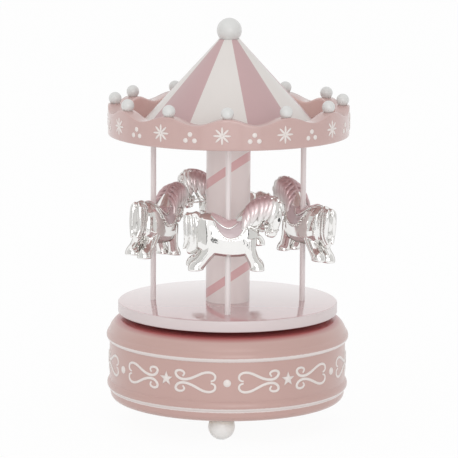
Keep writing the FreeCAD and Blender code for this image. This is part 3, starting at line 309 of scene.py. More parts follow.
def piped_lines(name, paths, radii):
    """Round strokes of paint along paths given in metres, as one mesh; radii in millimetres."""
    curve = bpy.data.curves.new(name, "CURVE")
    curve.dimensions = "3D"
    curve.bevel_depth = MM
    curve.bevel_resolution = 3
    curve.resolution_u = 6
    curve.use_fill_caps = True
    for path, thick in zip(paths, radii):
        spline = curve.splines.new("NURBS")
        spline.points.add(len(path) - 1)
        spline.use_endpoint_u = True
        spline.order_u = 4
        for point, place, radius in zip(spline.points, path, thick):
            point.co = (*place, 1)
            point.radius = radius
    holder = bpy.data.objects.new(name, curve)
    bpy.context.collection.objects.link(holder)
    data = bpy.data.meshes.new_from_object(holder.evaluated_get(bpy.context.evaluated_depsgraph_get()))
    bpy.data.objects.remove(holder)
    mesh = bmesh.new()
    mesh.from_mesh(data)
    bpy.data.meshes.remove(data)
    return mesh


def on_wall(radius, along, angle, height):
    """A point on a round wall: along it in millimetres from an angle, at a height."""
    turn = angle + along / radius - math.pi / 2
    return (radius * math.cos(turn) * MM, radius * math.sin(turn) * MM, height * MM)


stroke_paths, stroke_radii = [], []
for repeat in range(6):
    for side in (1, -1):
        for up in (1, -1):
            stroke_paths.append([
                on_wall(WALL_RADIUS, side * along, repeat * REPEAT, ORNAMENT_HEIGHT + up * rise)
                for along, rise in SCROLL])
            taper = [math.sin(math.pi * step / (len(SCROLL) - 1)) ** 0.7 for step in range(len(SCROLL))]
            stroke_radii.append([STROKE_END + (STROKE_HALF - STROKE_END) * share for share in taper])
ornament = piped_lines("base_ornament", stroke_paths, stroke_radii)
for vert in ornament.verts:
    across = math.hypot(vert.co.x, vert.co.y)
    flat = (WALL_RADIUS * MM + (across - WALL_RADIUS * MM) * STROKE_RISE) / across
    vert.co.x *= flat
    vert.co.y *= flat
for repeat in range(6):
    wrap(add_dot(ornament, BASE_DOT, DOT_RISE), WALL_RADIUS, repeat * REPEAT, ORNAMENT_HEIGHT - 0.3)
    star = add_star(ornament, 5, BASE_STAR, BASE_STAR * STAR_WAIST, STAR_RISE)
    wrap(star, WALL_RADIUS, (repeat + 0.5) * REPEAT, ORNAMENT_HEIGHT + 0.3)
bmesh.ops.recalc_face_normals(ornament, faces=ornament.faces)
relief_paint = lacquer("relief_white_paint", (0.80, 0.74, 0.71), gloss=0.4)
base_ornament = dress(settle(ornament, "base_ornament", sharp=60), relief_paint)
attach(base_ornament, "base")


# Bottom cover: a disc of bare plywood with its grain along X. It lies in a rebate under the drum, is held
# by screws, and carries the feet.
def plywood():
    material, tree, bsdf = shader("bare_plywood")
    place = tree.nodes.new("ShaderNodeTexCoord")
    mapping = tree.nodes.new("ShaderNodeMapping")
    mapping.inputs["Scale"].default_value = (12, 160, 160)
    tree.links.new(place.outputs["Object"], mapping.inputs["Vector"])
    grain = tree.nodes.new("ShaderNodeTexNoise")
    grain.inputs["Scale"].default_value = 3
    grain.inputs["Detail"].default_value = 6
    grain.inputs["Distortion"].default_value = 0.6
    tree.links.new(mapping.outputs["Vector"], grain.inputs["Vector"])
    colour = mixed(tree, grain.outputs["Fac"], (0.42, 0.25, 0.13), (0.66, 0.47, 0.29))
    finish(tree, bsdf, colour, gloss=0.6, grain_scale=2500, relief=0.06, stretch=(0.15, 1, 1))
    return material


bottom_cover = frame["nodes"]["bottom_cover"]
dress(bottom_cover, plywood())


# Feet: three turned wooden balls in white satin lacquer, painted brighter than the rim balls as painted
# light from the floor, each doweled into the bottom cover and sanded flat where it stands.
FOOT_DROP = 0.0052


def add_ball(mesh, centre, radius, around=64, along=32):
    """A round ball of the given radius, in metres."""
    bmesh.ops.create_uvsphere(mesh, u_segments=around, v_segments=along, radius=radius,
                              matrix=Matrix.Translation(centre))


# Painted light: a brighter copy of the white lacquer, standing in for light thrown up by the floor.
foot_white_lit = lacquer("foot_white_lacquer", (0.95, 0.95, 0.94), coat=0.5, gloss=0.32)
for side in ("front", "right", "left"):
    low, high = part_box(f"foot_{side}")
    radius = (high.x - low.x) / 2
    sole = low.z
    centre = Vector(((low.x + high.x) / 2, (low.y + high.y) / 2, BASE_BOTTOM * MM - FOOT_DROP))
    ball = bmesh.new()
    add_ball(ball, centre, radius)
    cut = bmesh.ops.bisect_plane(ball, geom=ball.verts[:] + ball.edges[:] + ball.faces[:], clear_inner=True,
                                 plane_co=(0, 0, sole), plane_no=(0, 0, 1))
    rim = [part for part in cut["geom_cut"] if isinstance(part, bmesh.types.BMEdge)]
    bmesh.ops.edgeloop_fill(ball, edges=rim)
    bmesh.ops.recalc_face_normals(ball, faces=ball.faces)
    foot = dress(settle(ball, f"foot_ball_{side}"), foot_white_lit)
    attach(foot, "base")
    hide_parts(f"foot_{side}")


# Movement: zinc castings, brass wheels and bushes, ground steel shafts and comb, a blued spring and a
# plastic fan, all closed up in the chamber of the base. Plain machine finishes.
def metal(name, colour, gloss, grain_scale, stretch=(1, 1, 1), relief=0.03, clouding=0.2):
    """Bare metal with tool marks."""
    material, tree, bsdf = shader(name)
    finish(tree, bsdf, colour, clouding=clouding, cloud_scale=150, gloss=gloss, unevenness=0.2,
           grain_scale=grain_scale, relief=relief, stretch=stretch)
    bsdf.inputs["Metallic"].default_value = 1.0
    return material


def plastic(name, colour):
    """Moulded plastic with a faint mould texture."""
    material, tree, bsdf = shader(name)
    finish(tree, bsdf, colour, clouding=0.05, gloss=0.45, grain_scale=3000, relief=0.02)
    return material


movement_finishes = {
    "screw_steel": metal("zinc_plated_steel", (0.56, 0.57, 0.59), 0.3, 2500),
    "cast_zinc": metal("cast_zinc", (0.36, 0.36, 0.35), 0.5, 900, relief=0.08),
    "brass_work": metal("satin_brass", (0.62, 0.43, 0.15), 0.3, 1800),
    "bright_steel": metal("ground_steel", (0.58, 0.58, 0.58), 0.25, 400, stretch=(1, 18, 18)),
    "blued_spring": metal("blued_steel", (0.04, 0.06, 0.14), 0.3, 1200),
    "fan_plastic": plastic("fan_plastic", (0.78, 0.78, 0.74)),
}
for part in frame["record"]["subparts"]:
    if part["material_slot"] in movement_finishes:
        dress(frame["nodes"][part["node"]], movement_finishes[part["material_slot"]])


# Turntable: a turned disc with softened edges. Its top is pink, polished almost to a mirror, and its edge is
# white. Its underside is painted red as painted shade for the gap over the drum. The drive hub is screwed to
# it from below.
TABLE_ROUND, TABLE_DROP = 0.7, 0.7
TABLE_PINK = (0.57, 0.35, 0.355)
# Red of the painted shade under the turntable.
UNDERSIDE_SHADE_RED = (0.62, 0.28, 0.27)
low, high = (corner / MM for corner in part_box("turntable"))
table_radius, table_low, table_top = high.x, low.z - TABLE_DROP, high.z
table_outline = (
    [(0, table_low)]
    + bow((table_radius - TABLE_ROUND, table_low), (table_radius, table_low + TABLE_ROUND), TABLE_ROUND, 5)
    + bow((table_radius, table_top - TABLE_ROUND), (table_radius - TABLE_ROUND, table_top), TABLE_ROUND, 5)
    + [(table_radius - TABLE_ROUND, table_top), (0, table_top)])
mesh = lathe(table_outline)
for face in mesh.faces:
    face.material_index = 0 if face.normal.z > 0.8 else 2 if face.normal.z < -0.8 else 1
table_pink = lacquer("turntable_pink", TABLE_PINK, coat=1.0, gloss=0.12, coat_gloss=0.04)
polish = table_pink.node_tree.nodes["Principled BSDF"]
polish.inputs["IOR"].default_value = 1.6
polish.inputs["Coat IOR"].default_value = 1.85
table_white = lacquer("turntable_white_edge", (0.70, 0.61, 0.61))
# Painted shade: the underside is coloured red to darken and redden the gap over the drum.
underside_shade_paint = lacquer("turntable_painted_shade_underside", UNDERSIDE_SHADE_RED)
turntable = dress(settle(mesh, "turntable_disc"), table_pink, table_white, underside_shade_paint)
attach(turntable, "carousel")
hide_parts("turntable")


# Column: a turned cylinder in off-white satin paint, with one pink band taped off by hand around it. It
# crosses the front in a straight slant and climbs the rest of its pitch behind. A tenon at each end holds it.
STRIPE_PITCH, STRIPE_TALL, STRIPE_START = 50.1, 4.3, 117.45
STRIPE_SLANT, STRIPE_BOW = 6.8, 1.8


def stripe_paint():
    material, tree, bsdf = shader("column_stripe_paint")
    x, y, z = position(tree)
    angle = sum_node(tree, "ARCTAN2", x, sum_node(tree, "MULTIPLY", y, -1.0))
    slant = sum_node(tree, "MULTIPLY", sum_node(tree, "SINE", angle), STRIPE_SLANT * MM)
    arch = sum_node(tree, "MULTIPLY", sum_node(tree, "COSINE", angle), STRIPE_BOW * MM)
    behind = tree.nodes.new("ShaderNodeMapRange")
    behind.interpolation_type = "SMOOTHSTEP"
    behind.inputs["From Min"].default_value = math.pi / 2
    behind.inputs["From Max"].default_value = math.pi
    behind.inputs["To Max"].default_value = STRIPE_PITCH * MM / 2
    tree.links.new(sum_node(tree, "ABSOLUTE", angle), behind.inputs["Value"])
    rise = sum_node(tree, "MULTIPLY", behind.outputs[0], sum_node(tree, "SIGN", angle))
    climb = sum_node(tree, "SUBTRACT", z, (STRIPE_START - STRIPE_BOW) * MM)
    for share in (slant, arch, rise):
        climb = sum_node(tree, "SUBTRACT", climb, share)
    phase = sum_node(tree, "WRAP", climb, STRIPE_PITCH * MM / 2, -STRIPE_PITCH * MM / 2)
    band = sum_node(tree, "COMPARE", phase, 0.0, STRIPE_TALL * MM / 2)
    colour = mixed(tree, band, (0.87, 0.79, 0.775), (0.78, 0.49, 0.495))
    finish(tree, bsdf, colour, gloss=0.35)
    bsdf.inputs["Coat Weight"].default_value = 0.3
    bsdf.inputs["Coat Roughness"].default_value = 0.15
    return material


low, high = (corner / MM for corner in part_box("column"))
column_radius = high.x
canopy_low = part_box("canopy_deck")[0].z / MM
rises = [table_top + (canopy_low - table_top) * step / 12 for step in range(13)]
column_outline = [(0, table_top)] + [(column_radius, rise) for rise in rises] + [(0, canopy_low)]
column = dress(settle(lathe(column_outline, 96), "column_turned"), stripe_paint())
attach(column, "carousel")
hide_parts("column")


# Poles: four straight metal rods in white satin paint, each let into a socket of the turntable and of the
# canopy's deck.
POLE_WHITE = (0.82, 0.755, 0.75)
pole_paint = lacquer("pole_white_paint", POLE_WHITE, gloss=0.3)
PLACES = ("front", "right", "back", "left")
pole_spots = {}
for side in PLACES:
    low, high = (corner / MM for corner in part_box(f"pole_{side}"))
    radius = (high.x - low.x) / 2
    pole_spots[side] = ((low.x + high.x) / 2, (low.y + high.y) / 2)
    rod = lathe([(0, low.z), (radius, low.z), (radius, high.z), (0, high.z)], 32)
    bmesh.ops.translate(rod, verts=rod.verts, vec=(pole_spots[side][0] * MM, pole_spots[side][1] * MM, 0))
    pole = dress(settle(rod, f"pole_rod_{side}"), pole_paint)
    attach(pole, "carousel")
    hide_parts(f"pole_{side}")


# Horses: four hollow plastic mouldings from one pattern, silvered to a mirror and threaded on their poles.
# Mane and tail are moulded in locks, the saddle and its cloth are sprayed pink, the eyes are dots of black.
# Heading and nod (nose down) in degrees, and the set off the pole in millimetres to the horse's left.
HEADINGS = {"front": 0, "right": 123, "back": 180, "left": 62}
NODS = {"front": 0, "right": -4, "back": -5.5, "left": 5.5}
SETS = {"front": 0, "right": -2.0, "back": 0, "left": -1.4}
HORSE_TALL = 33.0
SILVER = (0.91, 0.90, 0.885)
# Grey of the painted shade in the horses' creases.
CREASE_SHADE_GREY = (0.52, 0.49, 0.47)
EDGE_GREY = (0.40, 0.38, 0.36)
HORSE_PINK = (0.68, 0.50, 0.515)
CLOTH_PINK = (0.58, 0.465, 0.48)
TRUNK = ((-14.2, 0, 17.0, 4.6, 2.8), (-12.6, 0, 16.9, 7.7, 4.7), (-9.0, 0, 16.5, 9.0, 6.1),
         (-4.5, 0, 15.0, 8.6, 6.5), (0.4, 0, 13.7, 7.8, 6.5), (4.5, 0, 14.1, 8.1, 6.4),
         (8.0, 0, 15.0, 8.0, 6.1), (11.2, 0, 14.9, 6.2, 4.9), (13.2, 0, 14.5, 3.0, 3.0))
NECK = ((6.5, 0, 17.6, 5.8, 5.0), (9.5, 0, 21.9, 5.6, 4.4), (12.6, 0, 25.4, 5.1, 3.8),
        (15.6, 0, 27.6, 4.4, 3.3), (18.3, 0, 28.3, 3.6, 3.0), (20.4, 0, 28.1, 2.6, 2.5))
HEAD = ((18.6, 0, 29.6, 2.5, 2.5), (20.0, 0, 27.2, 3.5, 3.0), (20.6, 0, 24.2, 3.4, 3.1),
        (20.2, 0, 21.0, 2.9, 2.7), (19.5, 0, 18.0, 2.6, 2.3), (19.0, 0, 15.9, 2.4, 2.1),
        (18.8, 0, 14.6, 1.4, 1.4))
FORE_LEG = ((8.8, 3.2, 14.0, 4.2, 3.0), (9.4, 3.5, 10.4, 3.1, 2.7), (9.8, 3.5, 8.3, 2.7, 2.5),
            (10.7, 3.3, 5.8, 2.5, 2.4), (11.7, 3.1, 3.6, 2.5, 2.4), (12.6, 3.0, 2.0, 3.0, 2.8),
            (12.9, 3.0, 0.9, 3.3, 3.2), (12.9, 3.0, 0.0, 3.2, 3.1))
HIND_LEG = ((-7.6, 3.0, 15.5, 5.2, 3.2), (-7.6, 3.1, 11.5, 4.2, 3.1), (-8.4, 3.0, 8.7, 3.2, 3.0),
            (-10.4, 2.9, 5.8, 2.8, 2.9), (-12.1, 2.9, 3.6, 2.8, 2.9), (-13.7, 2.9, 2.0, 3.2, 3.1),
            (-14.2, 2.9, 0.9, 3.5, 3.3), (-14.2, 2.9, 0.0, 3.4, 3.2))
FAR_HIND_SHIFT, FAR_HIND_RISE = -1.0, 1.2
DOCK = ((-8.5, 0, 20.6, 2.2, 2.2), (-11.3, 0, 21.4, 1.6, 2.2), (-14.0, 0, 22.6, 1.8, 2.3),
        (-16.4, 0, 23.8, 1.7, 2.0))
TAIL = ((-16.2, 0, 25.2, 2.3, 1.5), (-15.4, 0, 23.2, 4.0, 2.3), (-15.0, 0, 19.4, 4.6, 2.6),
        (-14.9, 0, 15.0, 4.6, 2.6), (-15.6, 0, 11.7, 4.4, 2.4), (-17.1, 0, 9.6, 3.3, 2.0),
        (-18.6, 0, 8.9, 2.0, 1.4))
TAIL_LOCKS = ((-3.5, -19.8, 9.4), (-1.2, -17.8, 8.4), (1.2, -15.4, 8.8), (3.4, -13.0, 9.8))
CREST = ((22.3, 0, 30.2), (20.9, 0, 31.8), (18.6, 0, 32.3), (15.4, 0, 32.1), (12.2, 0, 30.9),
         (9.4, 0, 28.6), (7.6, 0, 25.8))
EYE = (22.5, 2.3, 22.8)
FOREHEAD_CURLS = ((20.9, 0.6, 32.2, 0.8), (22.2, 1.5, 30.6, 0.75), (20.3, 2.4, 30.8, 0.7),
                  (21.6, 2.8, 28.6, 0.65), (22.9, 0.7, 29.6, 0.75), (19.6, 3.1, 28.8, 0.6))
REINS = ((19.6, 2.4, 17.0), (16.5, 4.0, 18.2), (12.5, 5.2, 18.8), (8.8, 5.7, 20.6), (6.0, 3.4, 23.2))
CHEEK_STRAP = ((19.6, 2.45, 17.4), (20.0, 2.95, 20.4), (19.8, 3.35, 23.8), (19.3, 3.1, 27.4),
               (19.0, 2.3, 29.8))
HEAD_BANDS = ((19.5, 17.8, 2.8, 2.5), (20.1, 27.2, 3.7, 3.2))
BUCKLES = ((19.7, 3.2, 26.7), (19.6, 2.5, 17.8))


def smooth_path(stations, steps=5):
    """Stations of any width, run through by a smooth curve."""
    spots = [Vector(station) for station in stations]
    spots = [2 * spots[0] - spots[1]] + spots + [2 * spots[-1] - spots[-2]]
    path = []
    for a, b, c, d in zip(spots, spots[1:], spots[2:], spots[3:]):
        for step in range(steps):
            t = step / steps
            path.append(0.5 * (2 * b + (c - a) * t + (2 * a - 5 * b + 4 * c - d) * t ** 2
                               + (3 * b - a - 3 * c + d) * t ** 3))
    return path + [spots[-2]]


def add_limb(mesh, stations, sides=24, steps=5, belly=2.0):
    """A limb through ovals: (x, y, z, half depth, half width) at each station, in millimetres. Above 2, belly
    squares the lower half of the ovals."""
    path = smooth_path(stations, steps)
    rings = []
    for index, station in enumerate(path):
        before, after = path[max(index - 1, 0)], path[min(index + 1, len(path) - 1)]
        ahead = Vector((after - before)[:3]).normalized()
        across = (Vector((0, 1, 0)) - ahead * ahead.y).normalized()
        deep = ahead.cross(across)
        circle = bmesh.ops.create_circle(mesh, radius=1, segments=sides)["verts"]
        ring = sorted(circle, key=lambda vert: math.atan2(vert.co.y, vert.co.x))
        for side, vert in enumerate(ring):
            turn = math.tau * side / sides
            out, up = math.cos(turn), math.sin(turn)
            power = belly if up < 0 else 2.0
            size = (abs(out) ** power + abs(up) ** power) ** (-1 / power)
            vert.co = (Vector(station[:3]) + size * (out * station[4] * across + up * station[3] * deep)) * MM
        rings.append(ring)
    loops = [[mesh.edges.get(pair) for pair in zip(ring, ring[1:] + ring[:1])] for ring in rings]
    for one, two in zip(loops, loops[1:]):
        bmesh.ops.bridge_loops(mesh, edges=one + two)
    for end in (loops[0], loops[-1]):
        bmesh.ops.edgeloop_fill(mesh, edges=end)
    bmesh.ops.recalc_face_normals(mesh, faces=mesh.faces)
    return [vert for ring in rings for vert in ring]


def mirrored(stations):
    """The same limb on the other flank."""
    return [(x, -y, z, deep, wide) for x, y, z, deep, wide in stations]


def strand(points, broad, thick):
    """A lock of hair through points, its breadth and thickness rising and dying away along it."""
    share = [0.55, 1.0, 1.0, 0.8, 0.35]
    return [(*point, broad * part, thick * part) for point, part in zip(points, share)]


def blended(mesh, name, voxel=0.26, rounds=5):
    """Melt the overlapping limbs of a figure into one smooth skin."""
    rough = settle(mesh, name)
    remesh = rough.modifiers.new("skin", "REMESH")
    remesh.mode = "VOXEL"
    remesh.voxel_size = voxel * MM
    relax = rough.modifiers.new("relax", "SMOOTH")
    relax.factor = 0.5
    relax.iterations = rounds
    data = bpy.data.meshes.new_from_object(rough.evaluated_get(bpy.context.evaluated_depsgraph_get()))
    bpy.data.objects.remove(rough)
    data.shade_smooth()
    return data


def horse_body():
    mesh = bmesh.new()
    add_limb(mesh, TRUNK, belly=3.4)
    for stations in (NECK, HEAD, DOCK, TAIL):
        add_limb(mesh, stations)
    far_hind = []
    for x, y, z, deep, wide in HIND_LEG:
        low = 1 - z / HIND_LEG[0][2]
        far_hind.append((x + FAR_HIND_SHIFT * low, y, z + FAR_HIND_RISE * low, deep, wide))
    for stations in (FORE_LEG, mirrored(FORE_LEG), far_hind, mirrored(HIND_LEG)):
        add_limb(mesh, stations)
    for side in (1, -1):
        add_ball(mesh, Vector((19.1, side * 1.6, 23.4)) * MM, 2.35 * MM, 24, 12)
        add_limb(mesh, [(19.4, side * 1.6, 30.2, 1.0, 1.0), (19.2, side * 2.1, 31.6, 0.95, 0.7),
                        (19.4, side * 2.5, 32.9, 0.4, 0.3)], 12, 3)
        add_ball(mesh, Vector((20.9, side * 1.0, 16.6)) * MM, 0.8 * MM, 16, 8)
        for x, z, size in ((16.6, 19.7, 0.95), (16.7, 17.9, 0.85), (17.1, 16.2, 0.8)):
            add_ball(mesh, Vector((x, side * 1.5, z)) * MM, size * MM, 16, 8)
        for lean, x, z in TAIL_LOCKS:
            add_limb(mesh, strand([
                (-16.0 + lean * 0.5, side * 0.8, 25.2), (-15.4 + lean * 0.9, side * 1.7, 22.4 - lean * 0.2),
                (-15.0 + lean, side * 2.05, 17.5), (-15.0 + lean, side * 1.95, 12.8),
                (x, side * 1.3, z)], 1.25, 1.25), 12, 4)
    return blended(mesh, "horse_skin")


trunk_path = smooth_path(TRUNK)


def trunk_at(x):
    """Middle height, half depth and half width of the trunk at x."""
    for one, two in zip(trunk_path, trunk_path[1:]):
        if one[0] <= x <= two[0]:
            share = (x - one[0]) / (two[0] - one[0])
            return one.lerp(two, share)[2:]


def on_trunk(x, angle, lift):
    """A point over the trunk at x, at an angle from its back, standing off by lift."""
    middle, deep, wide = trunk_at(x)
    return Vector((x, math.sin(angle) * (wide + lift), middle + math.cos(angle) * (deep + lift))) * MM


def cloth_spot(along, around):
    """The saddle cloth: a broad curve with a flat bottom on the flank; around runs from -1 to 1."""
    x = -6.4 + (11.6 + 3.6 * around ** 2) * along
    fall = math.radians(42 + 40 * (1 - abs(2 * along - 1) ** 3))
    return on_trunk(x, fall * around, 0.35 + 0.9 * max(2 * along - 1, 0) ** 2)


def seat_spot(along, around):
    """The seat: low in the middle, a little raised at both ends, with a short rounded flap."""
    x = -7.4 + 12.6 * along
    fall = math.radians(25 + 24 * (1 - abs(2 * along - 1) ** 2.2))
    crown = math.cos(around * math.pi / 2) ** 0.7 if abs(around) < 1 else 0
    ends = abs(2 * along - 1) ** 4
    return on_trunk(x, fall * around, 0.7 - 0.3 * ends + 0.3 * crown)


def draped(spot, thickness, columns=48, rows=40):
    """A sheet laid over the trunk by a rule for its points, thickened outwards."""
    mesh = bmesh.new()
    bmesh.ops.create_grid(mesh, x_segments=columns, y_segments=rows, size=1)
    for vert in mesh.verts:
        vert.co = spot((vert.co.x + 1) / 2, vert.co.y)
    bmesh.ops.recalc_face_normals(mesh, faces=mesh.faces)
    outward = sum(face.normal.z for face in mesh.faces)
    if outward < 0:
        bmesh.ops.reverse_faces(mesh, faces=mesh.faces)
    bmesh.ops.solidify(mesh, geom=mesh.faces[:], thickness=thickness * MM)
    bmesh.ops.recalc_face_normals(mesh, faces=mesh.faces)
    return mesh


def horse_trim():
    """Silver piping around the seat and the cloth, a fringe under the cloth, the bridle and the reins."""
    paths, radii = [], []
    for side in (1, -1):
        paths.append([seat_spot(step / 24, side) for step in range(25)])
        radii.append([0.38] * 25)
        paths.append([cloth_spot(step / 24, side) for step in range(25)])
        radii.append([0.36] * 25)
        for strap, thick in ((REINS, 0.34), (CHEEK_STRAP, 0.4)):
            paths.append([Vector((x, side * y, z)) * MM for x, y, z in strap])
            radii.append([thick] * len(strap))
    for x, z, deep, wide in HEAD_BANDS:
        turns = [math.tau * step / 20 for step in range(21)]
        paths.append([Vector((x + deep * math.cos(turn), wide * math.sin(turn), z)) * MM for turn in turns])
        radii.append([0.36] * 21)
    mesh = piped_lines("trim", paths, radii)
    for side in (1, -1):
        for step in range(1, 14):
            drop = cloth_spot(step / 14, side * 1.05)
            add_ball(mesh, drop, 0.5 * MM, 14, 8)
        for x, y, z in BUCKLES:
            add_ball(mesh, Vector((x, side * y, z)) * MM, 0.85 * MM, 16, 10)
    return mesh


def horse_mane():
    """Broad locks from the crest of the neck down both sides, pink at the crest and silver at their ends,
    and small silver curls over the forehead."""
    mesh = bmesh.new()
    pink = mesh.verts.layers.float.new("pink")
    crest = smooth_path(CREST, 3)
    hair = add_limb(mesh, [(*spot, 1.0, 1.1) for spot in crest[::2]], 14, 3)
    for index, spot in enumerate(crest[1::2]):
        share = index / 9
        for side in (1, -1):
            swing = 0.5 * math.sin(index * 2.4 + side)
            reach = 9.4 + 1.0 * math.sin(index * 1.9 + 0.6 * side)
            wide = 2.9 + 2.2 * share
            drift = 1.0 + 2.4 * (1 - share)
            hair += add_limb(mesh, strand([
                (spot.x, side * 0.3, spot.z + 0.2),
                (spot.x - 0.1 * drift, side * (wide * 0.75), spot.z - 0.14 * reach),
                (spot.x - 0.3 * drift + swing * 0.4, side * (wide + 0.35), spot.z - 0.42 * reach),
                (spot.x - 0.65 * drift + swing, side * (wide + 0.75), spot.z - 0.74 * reach),
                (spot.x - drift + swing * 1.5, side * (wide + 0.5), spot.z - reach)], 1.7, 1.1), 14, 5)
    for vert in hair:
        x, z = vert.co.x / MM, vert.co.z / MM
        crown = 32.4 - 0.045 * (x - 18) ** 2
        vert[pink] = min(max(1.15 - 0.125 * (crown - z), 0), 1) * min(max((21.0 - x) / 3.0, 0), 1)
    for side in (1, -1):
        for x, out, z, size in FOREHEAD_CURLS:
            add_limb(mesh, strand([
                (x, side * out * 0.8, z), (x + 0.9, side * (out + 0.3), z - 0.6),
                (x + 1.3, side * (out + 0.5), z - 1.8), (x + 1.0, side * (out + 0.5), z - 2.9),
                (x + 0.2, side * (out + 0.4), z - 3.2)], size, size), 10, 4)
    return mesh


def horse_eyes():
    mesh = bmesh.new()
    for side in (1, -1):
        spot = Vector((EYE[0], side * EYE[1], EYE[2])) * MM
        eye = Matrix.Translation(spot) @ Matrix.Diagonal((0.7, 0.55, 1.0, 1))
        bmesh.ops.create_uvsphere(mesh, u_segments=20, v_segments=12, radius=MM, matrix=eye)
    return mesh


def silvering():
    material, tree, bsdf = shader("mirror_silver")
    shape = tree.nodes.new("ShaderNodeNewGeometry")
    # Painted shade: hollows and creases, where Pointiness is low, are greyed in the base colour.
    crease_shade = tree.nodes.new("ShaderNodeMapRange")
    crease_shade.inputs["From Min"].default_value = 0.49
    crease_shade.inputs["From Max"].default_value = 0.45
    tree.links.new(shape.outputs["Pointiness"], crease_shade.inputs["Value"])
    colour = mixed(tree, crease_shade.outputs[0], SILVER, CREASE_SHADE_GREY)
    finish(tree, bsdf, colour, clouding=0.06, cloud_scale=220, gloss=0.06, unevenness=0.05, grain_scale=420,
           relief=0.10)
    bsdf.inputs["Metallic"].default_value = 1.0
    bsdf.inputs["Specular Tint"].default_value = (*EDGE_GREY, 1)
    return material


def mane_paint():
    material, tree, bsdf = shader("mane_pink_over_silver")
    mask = tree.nodes.new("ShaderNodeAttribute")
    mask.attribute_name = "pink"
    colour = mixed(tree, mask.outputs["Fac"], SILVER, HORSE_PINK)
    finish(tree, bsdf, colour, clouding=0.1, cloud_scale=220, gloss=0.30, grain_scale=900, relief=0.05)
    tree.links.new(sum_node(tree, "SUBTRACT", 1.0, sum_node(tree, "MULTIPLY", mask.outputs["Fac"], 0.5)),
                   bsdf.inputs["Metallic"])
    bsdf.inputs["Specular Tint"].default_value = (*EDGE_GREY, 1)
    return material


def as_data(mesh, name, sharp=50):
    """A finished mesh for pieces that are repeated."""
    piece = settle(mesh, name, sharp)
    data = piece.data
    bpy.data.objects.remove(piece)
    return data


silver = silvering()
seat_pink = lacquer("seat_pink", HORSE_PINK, coat=0.8, gloss=0.25, coat_gloss=0.08)
cloth_pink = lacquer("cloth_pink", CLOTH_PINK, coat=0.8, gloss=0.25, coat_gloss=0.08)
eye_black = lacquer("eye_black", (0.012, 0.010, 0.010), coat=1.0, gloss=0.15, coat_gloss=0.05)
horse_pieces = (
    ("body", horse_body(), silver), ("mane", as_data(horse_mane(), "mane"), mane_paint()),
    ("seat", as_data(draped(seat_spot, 0.5), "seat"), seat_pink),
    ("cloth", as_data(draped(cloth_spot, 0.4), "cloth"), cloth_pink),
    ("trim", as_data(horse_trim(), "trim"), silver), ("eyes", as_data(horse_eyes(), "eyes"), eye_black))
horse_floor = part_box("horse_front")[0].z / MM
for side in PLACES:
    spot = Vector((*pole_spots[side], horse_floor)) * MM
    middle = Vector((0, SETS[side], HORSE_TALL / 2)) * MM
    place = (Matrix.Translation(spot) @ Matrix.Rotation(math.radians(HEADINGS[side]), 4, "Z")
             @ Matrix.Translation(middle) @ Matrix.Rotation(math.radians(NODS[side]), 4, "Y")
             @ Matrix.Translation((0, 0, -middle.z)))
    for part, data, material in horse_pieces:
        data = data.copy()
        data.transform(place)
        piece = bpy.data.objects.new(f"horse_{side}_{part}", data)
        bpy.context.collection.objects.link(piece)
        dress(piece, material)
        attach(piece, "carousel")
        if part == "body":
            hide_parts(f"horse_{side}")


# Canopy deck: a turned disc in the same pink lacquer as the ring around it. It rests on the column and the
# poles, which are let into it from below.
canopy_pink = lacquer("canopy_pink", (0.575, 0.39, 0.365), coat=0.8, coat_gloss=0.12)
dress(frame["nodes"]["canopy_deck"], canopy_pink)


# Canopy ring: a turned ring around the deck, its top edge cut into twelve soft waves, in pink lacquer;
# its inside is painted paler, as painted light against the shade within the ring. It is glued around the
# deck.
WAVES = 12
WAVE_DEPTH = 3.1
FIRST_CREST = math.radians(-0.7)
RING_WALL = 6.4
RING_ROUND = 0.7
low, high = (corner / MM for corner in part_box("canopy_ring"))
ring_radius, ring_low, ring_top = high.x, low.z, high.z
ring_inner = ring_radius - RING_WALL
levels = [ring_low + (ring_top - ring_low) * step / 10 for step in range(1, 10)]


def front_angle(place):
    """Angle of a place from the front of the box, towards its right."""
    return math.atan2(place.x, -place.y)


ring_outline = (
    bow((ring_inner, ring_low + RING_ROUND), (ring_inner + RING_ROUND, ring_low), RING_ROUND, 5)
    + bow((ring_radius - RING_ROUND, ring_low), (ring_radius, ring_low + RING_ROUND), RING_ROUND, 5)
    + [(ring_radius, level) for level in levels]
    + bow((ring_radius, ring_top - RING_ROUND), (ring_radius - RING_ROUND, ring_top), RING_ROUND, 5)
    + bow((ring_inner + RING_ROUND, ring_top), (ring_inner, ring_top - RING_ROUND), RING_ROUND, 5)
    + [(ring_inner, level) for level in reversed(levels)])
mesh = lathe(ring_outline, 360)
for vert in mesh.verts:
    dip = WAVE_DEPTH * (0.5 - 0.5 * math.cos(WAVES * (front_angle(vert.co) - FIRST_CREST)))
    share = (vert.co.z / MM - ring_low) / (ring_top - ring_low)
    vert.co.z -= share * dip * MM
bmesh.ops.recalc_face_normals(mesh, faces=mesh.faces)
# Painted light: the inner faces take a paler pink to lift the shade inside the ring.
for face in mesh.faces:
    if face.calc_center_median().xy.length < (ring_inner + RING_ROUND / 2) * MM:
        face.material_index = 1
inside_lit_pink = lacquer("canopy_inside_painted_light", (0.77, 0.54, 0.50), coat=0.8, coat_gloss=0.12)
canopy_ring = dress(settle(mesh, "canopy_ring_waved"), canopy_pink, inside_lit_pink)
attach(canopy_ring, "carousel")
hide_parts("canopy_ring")


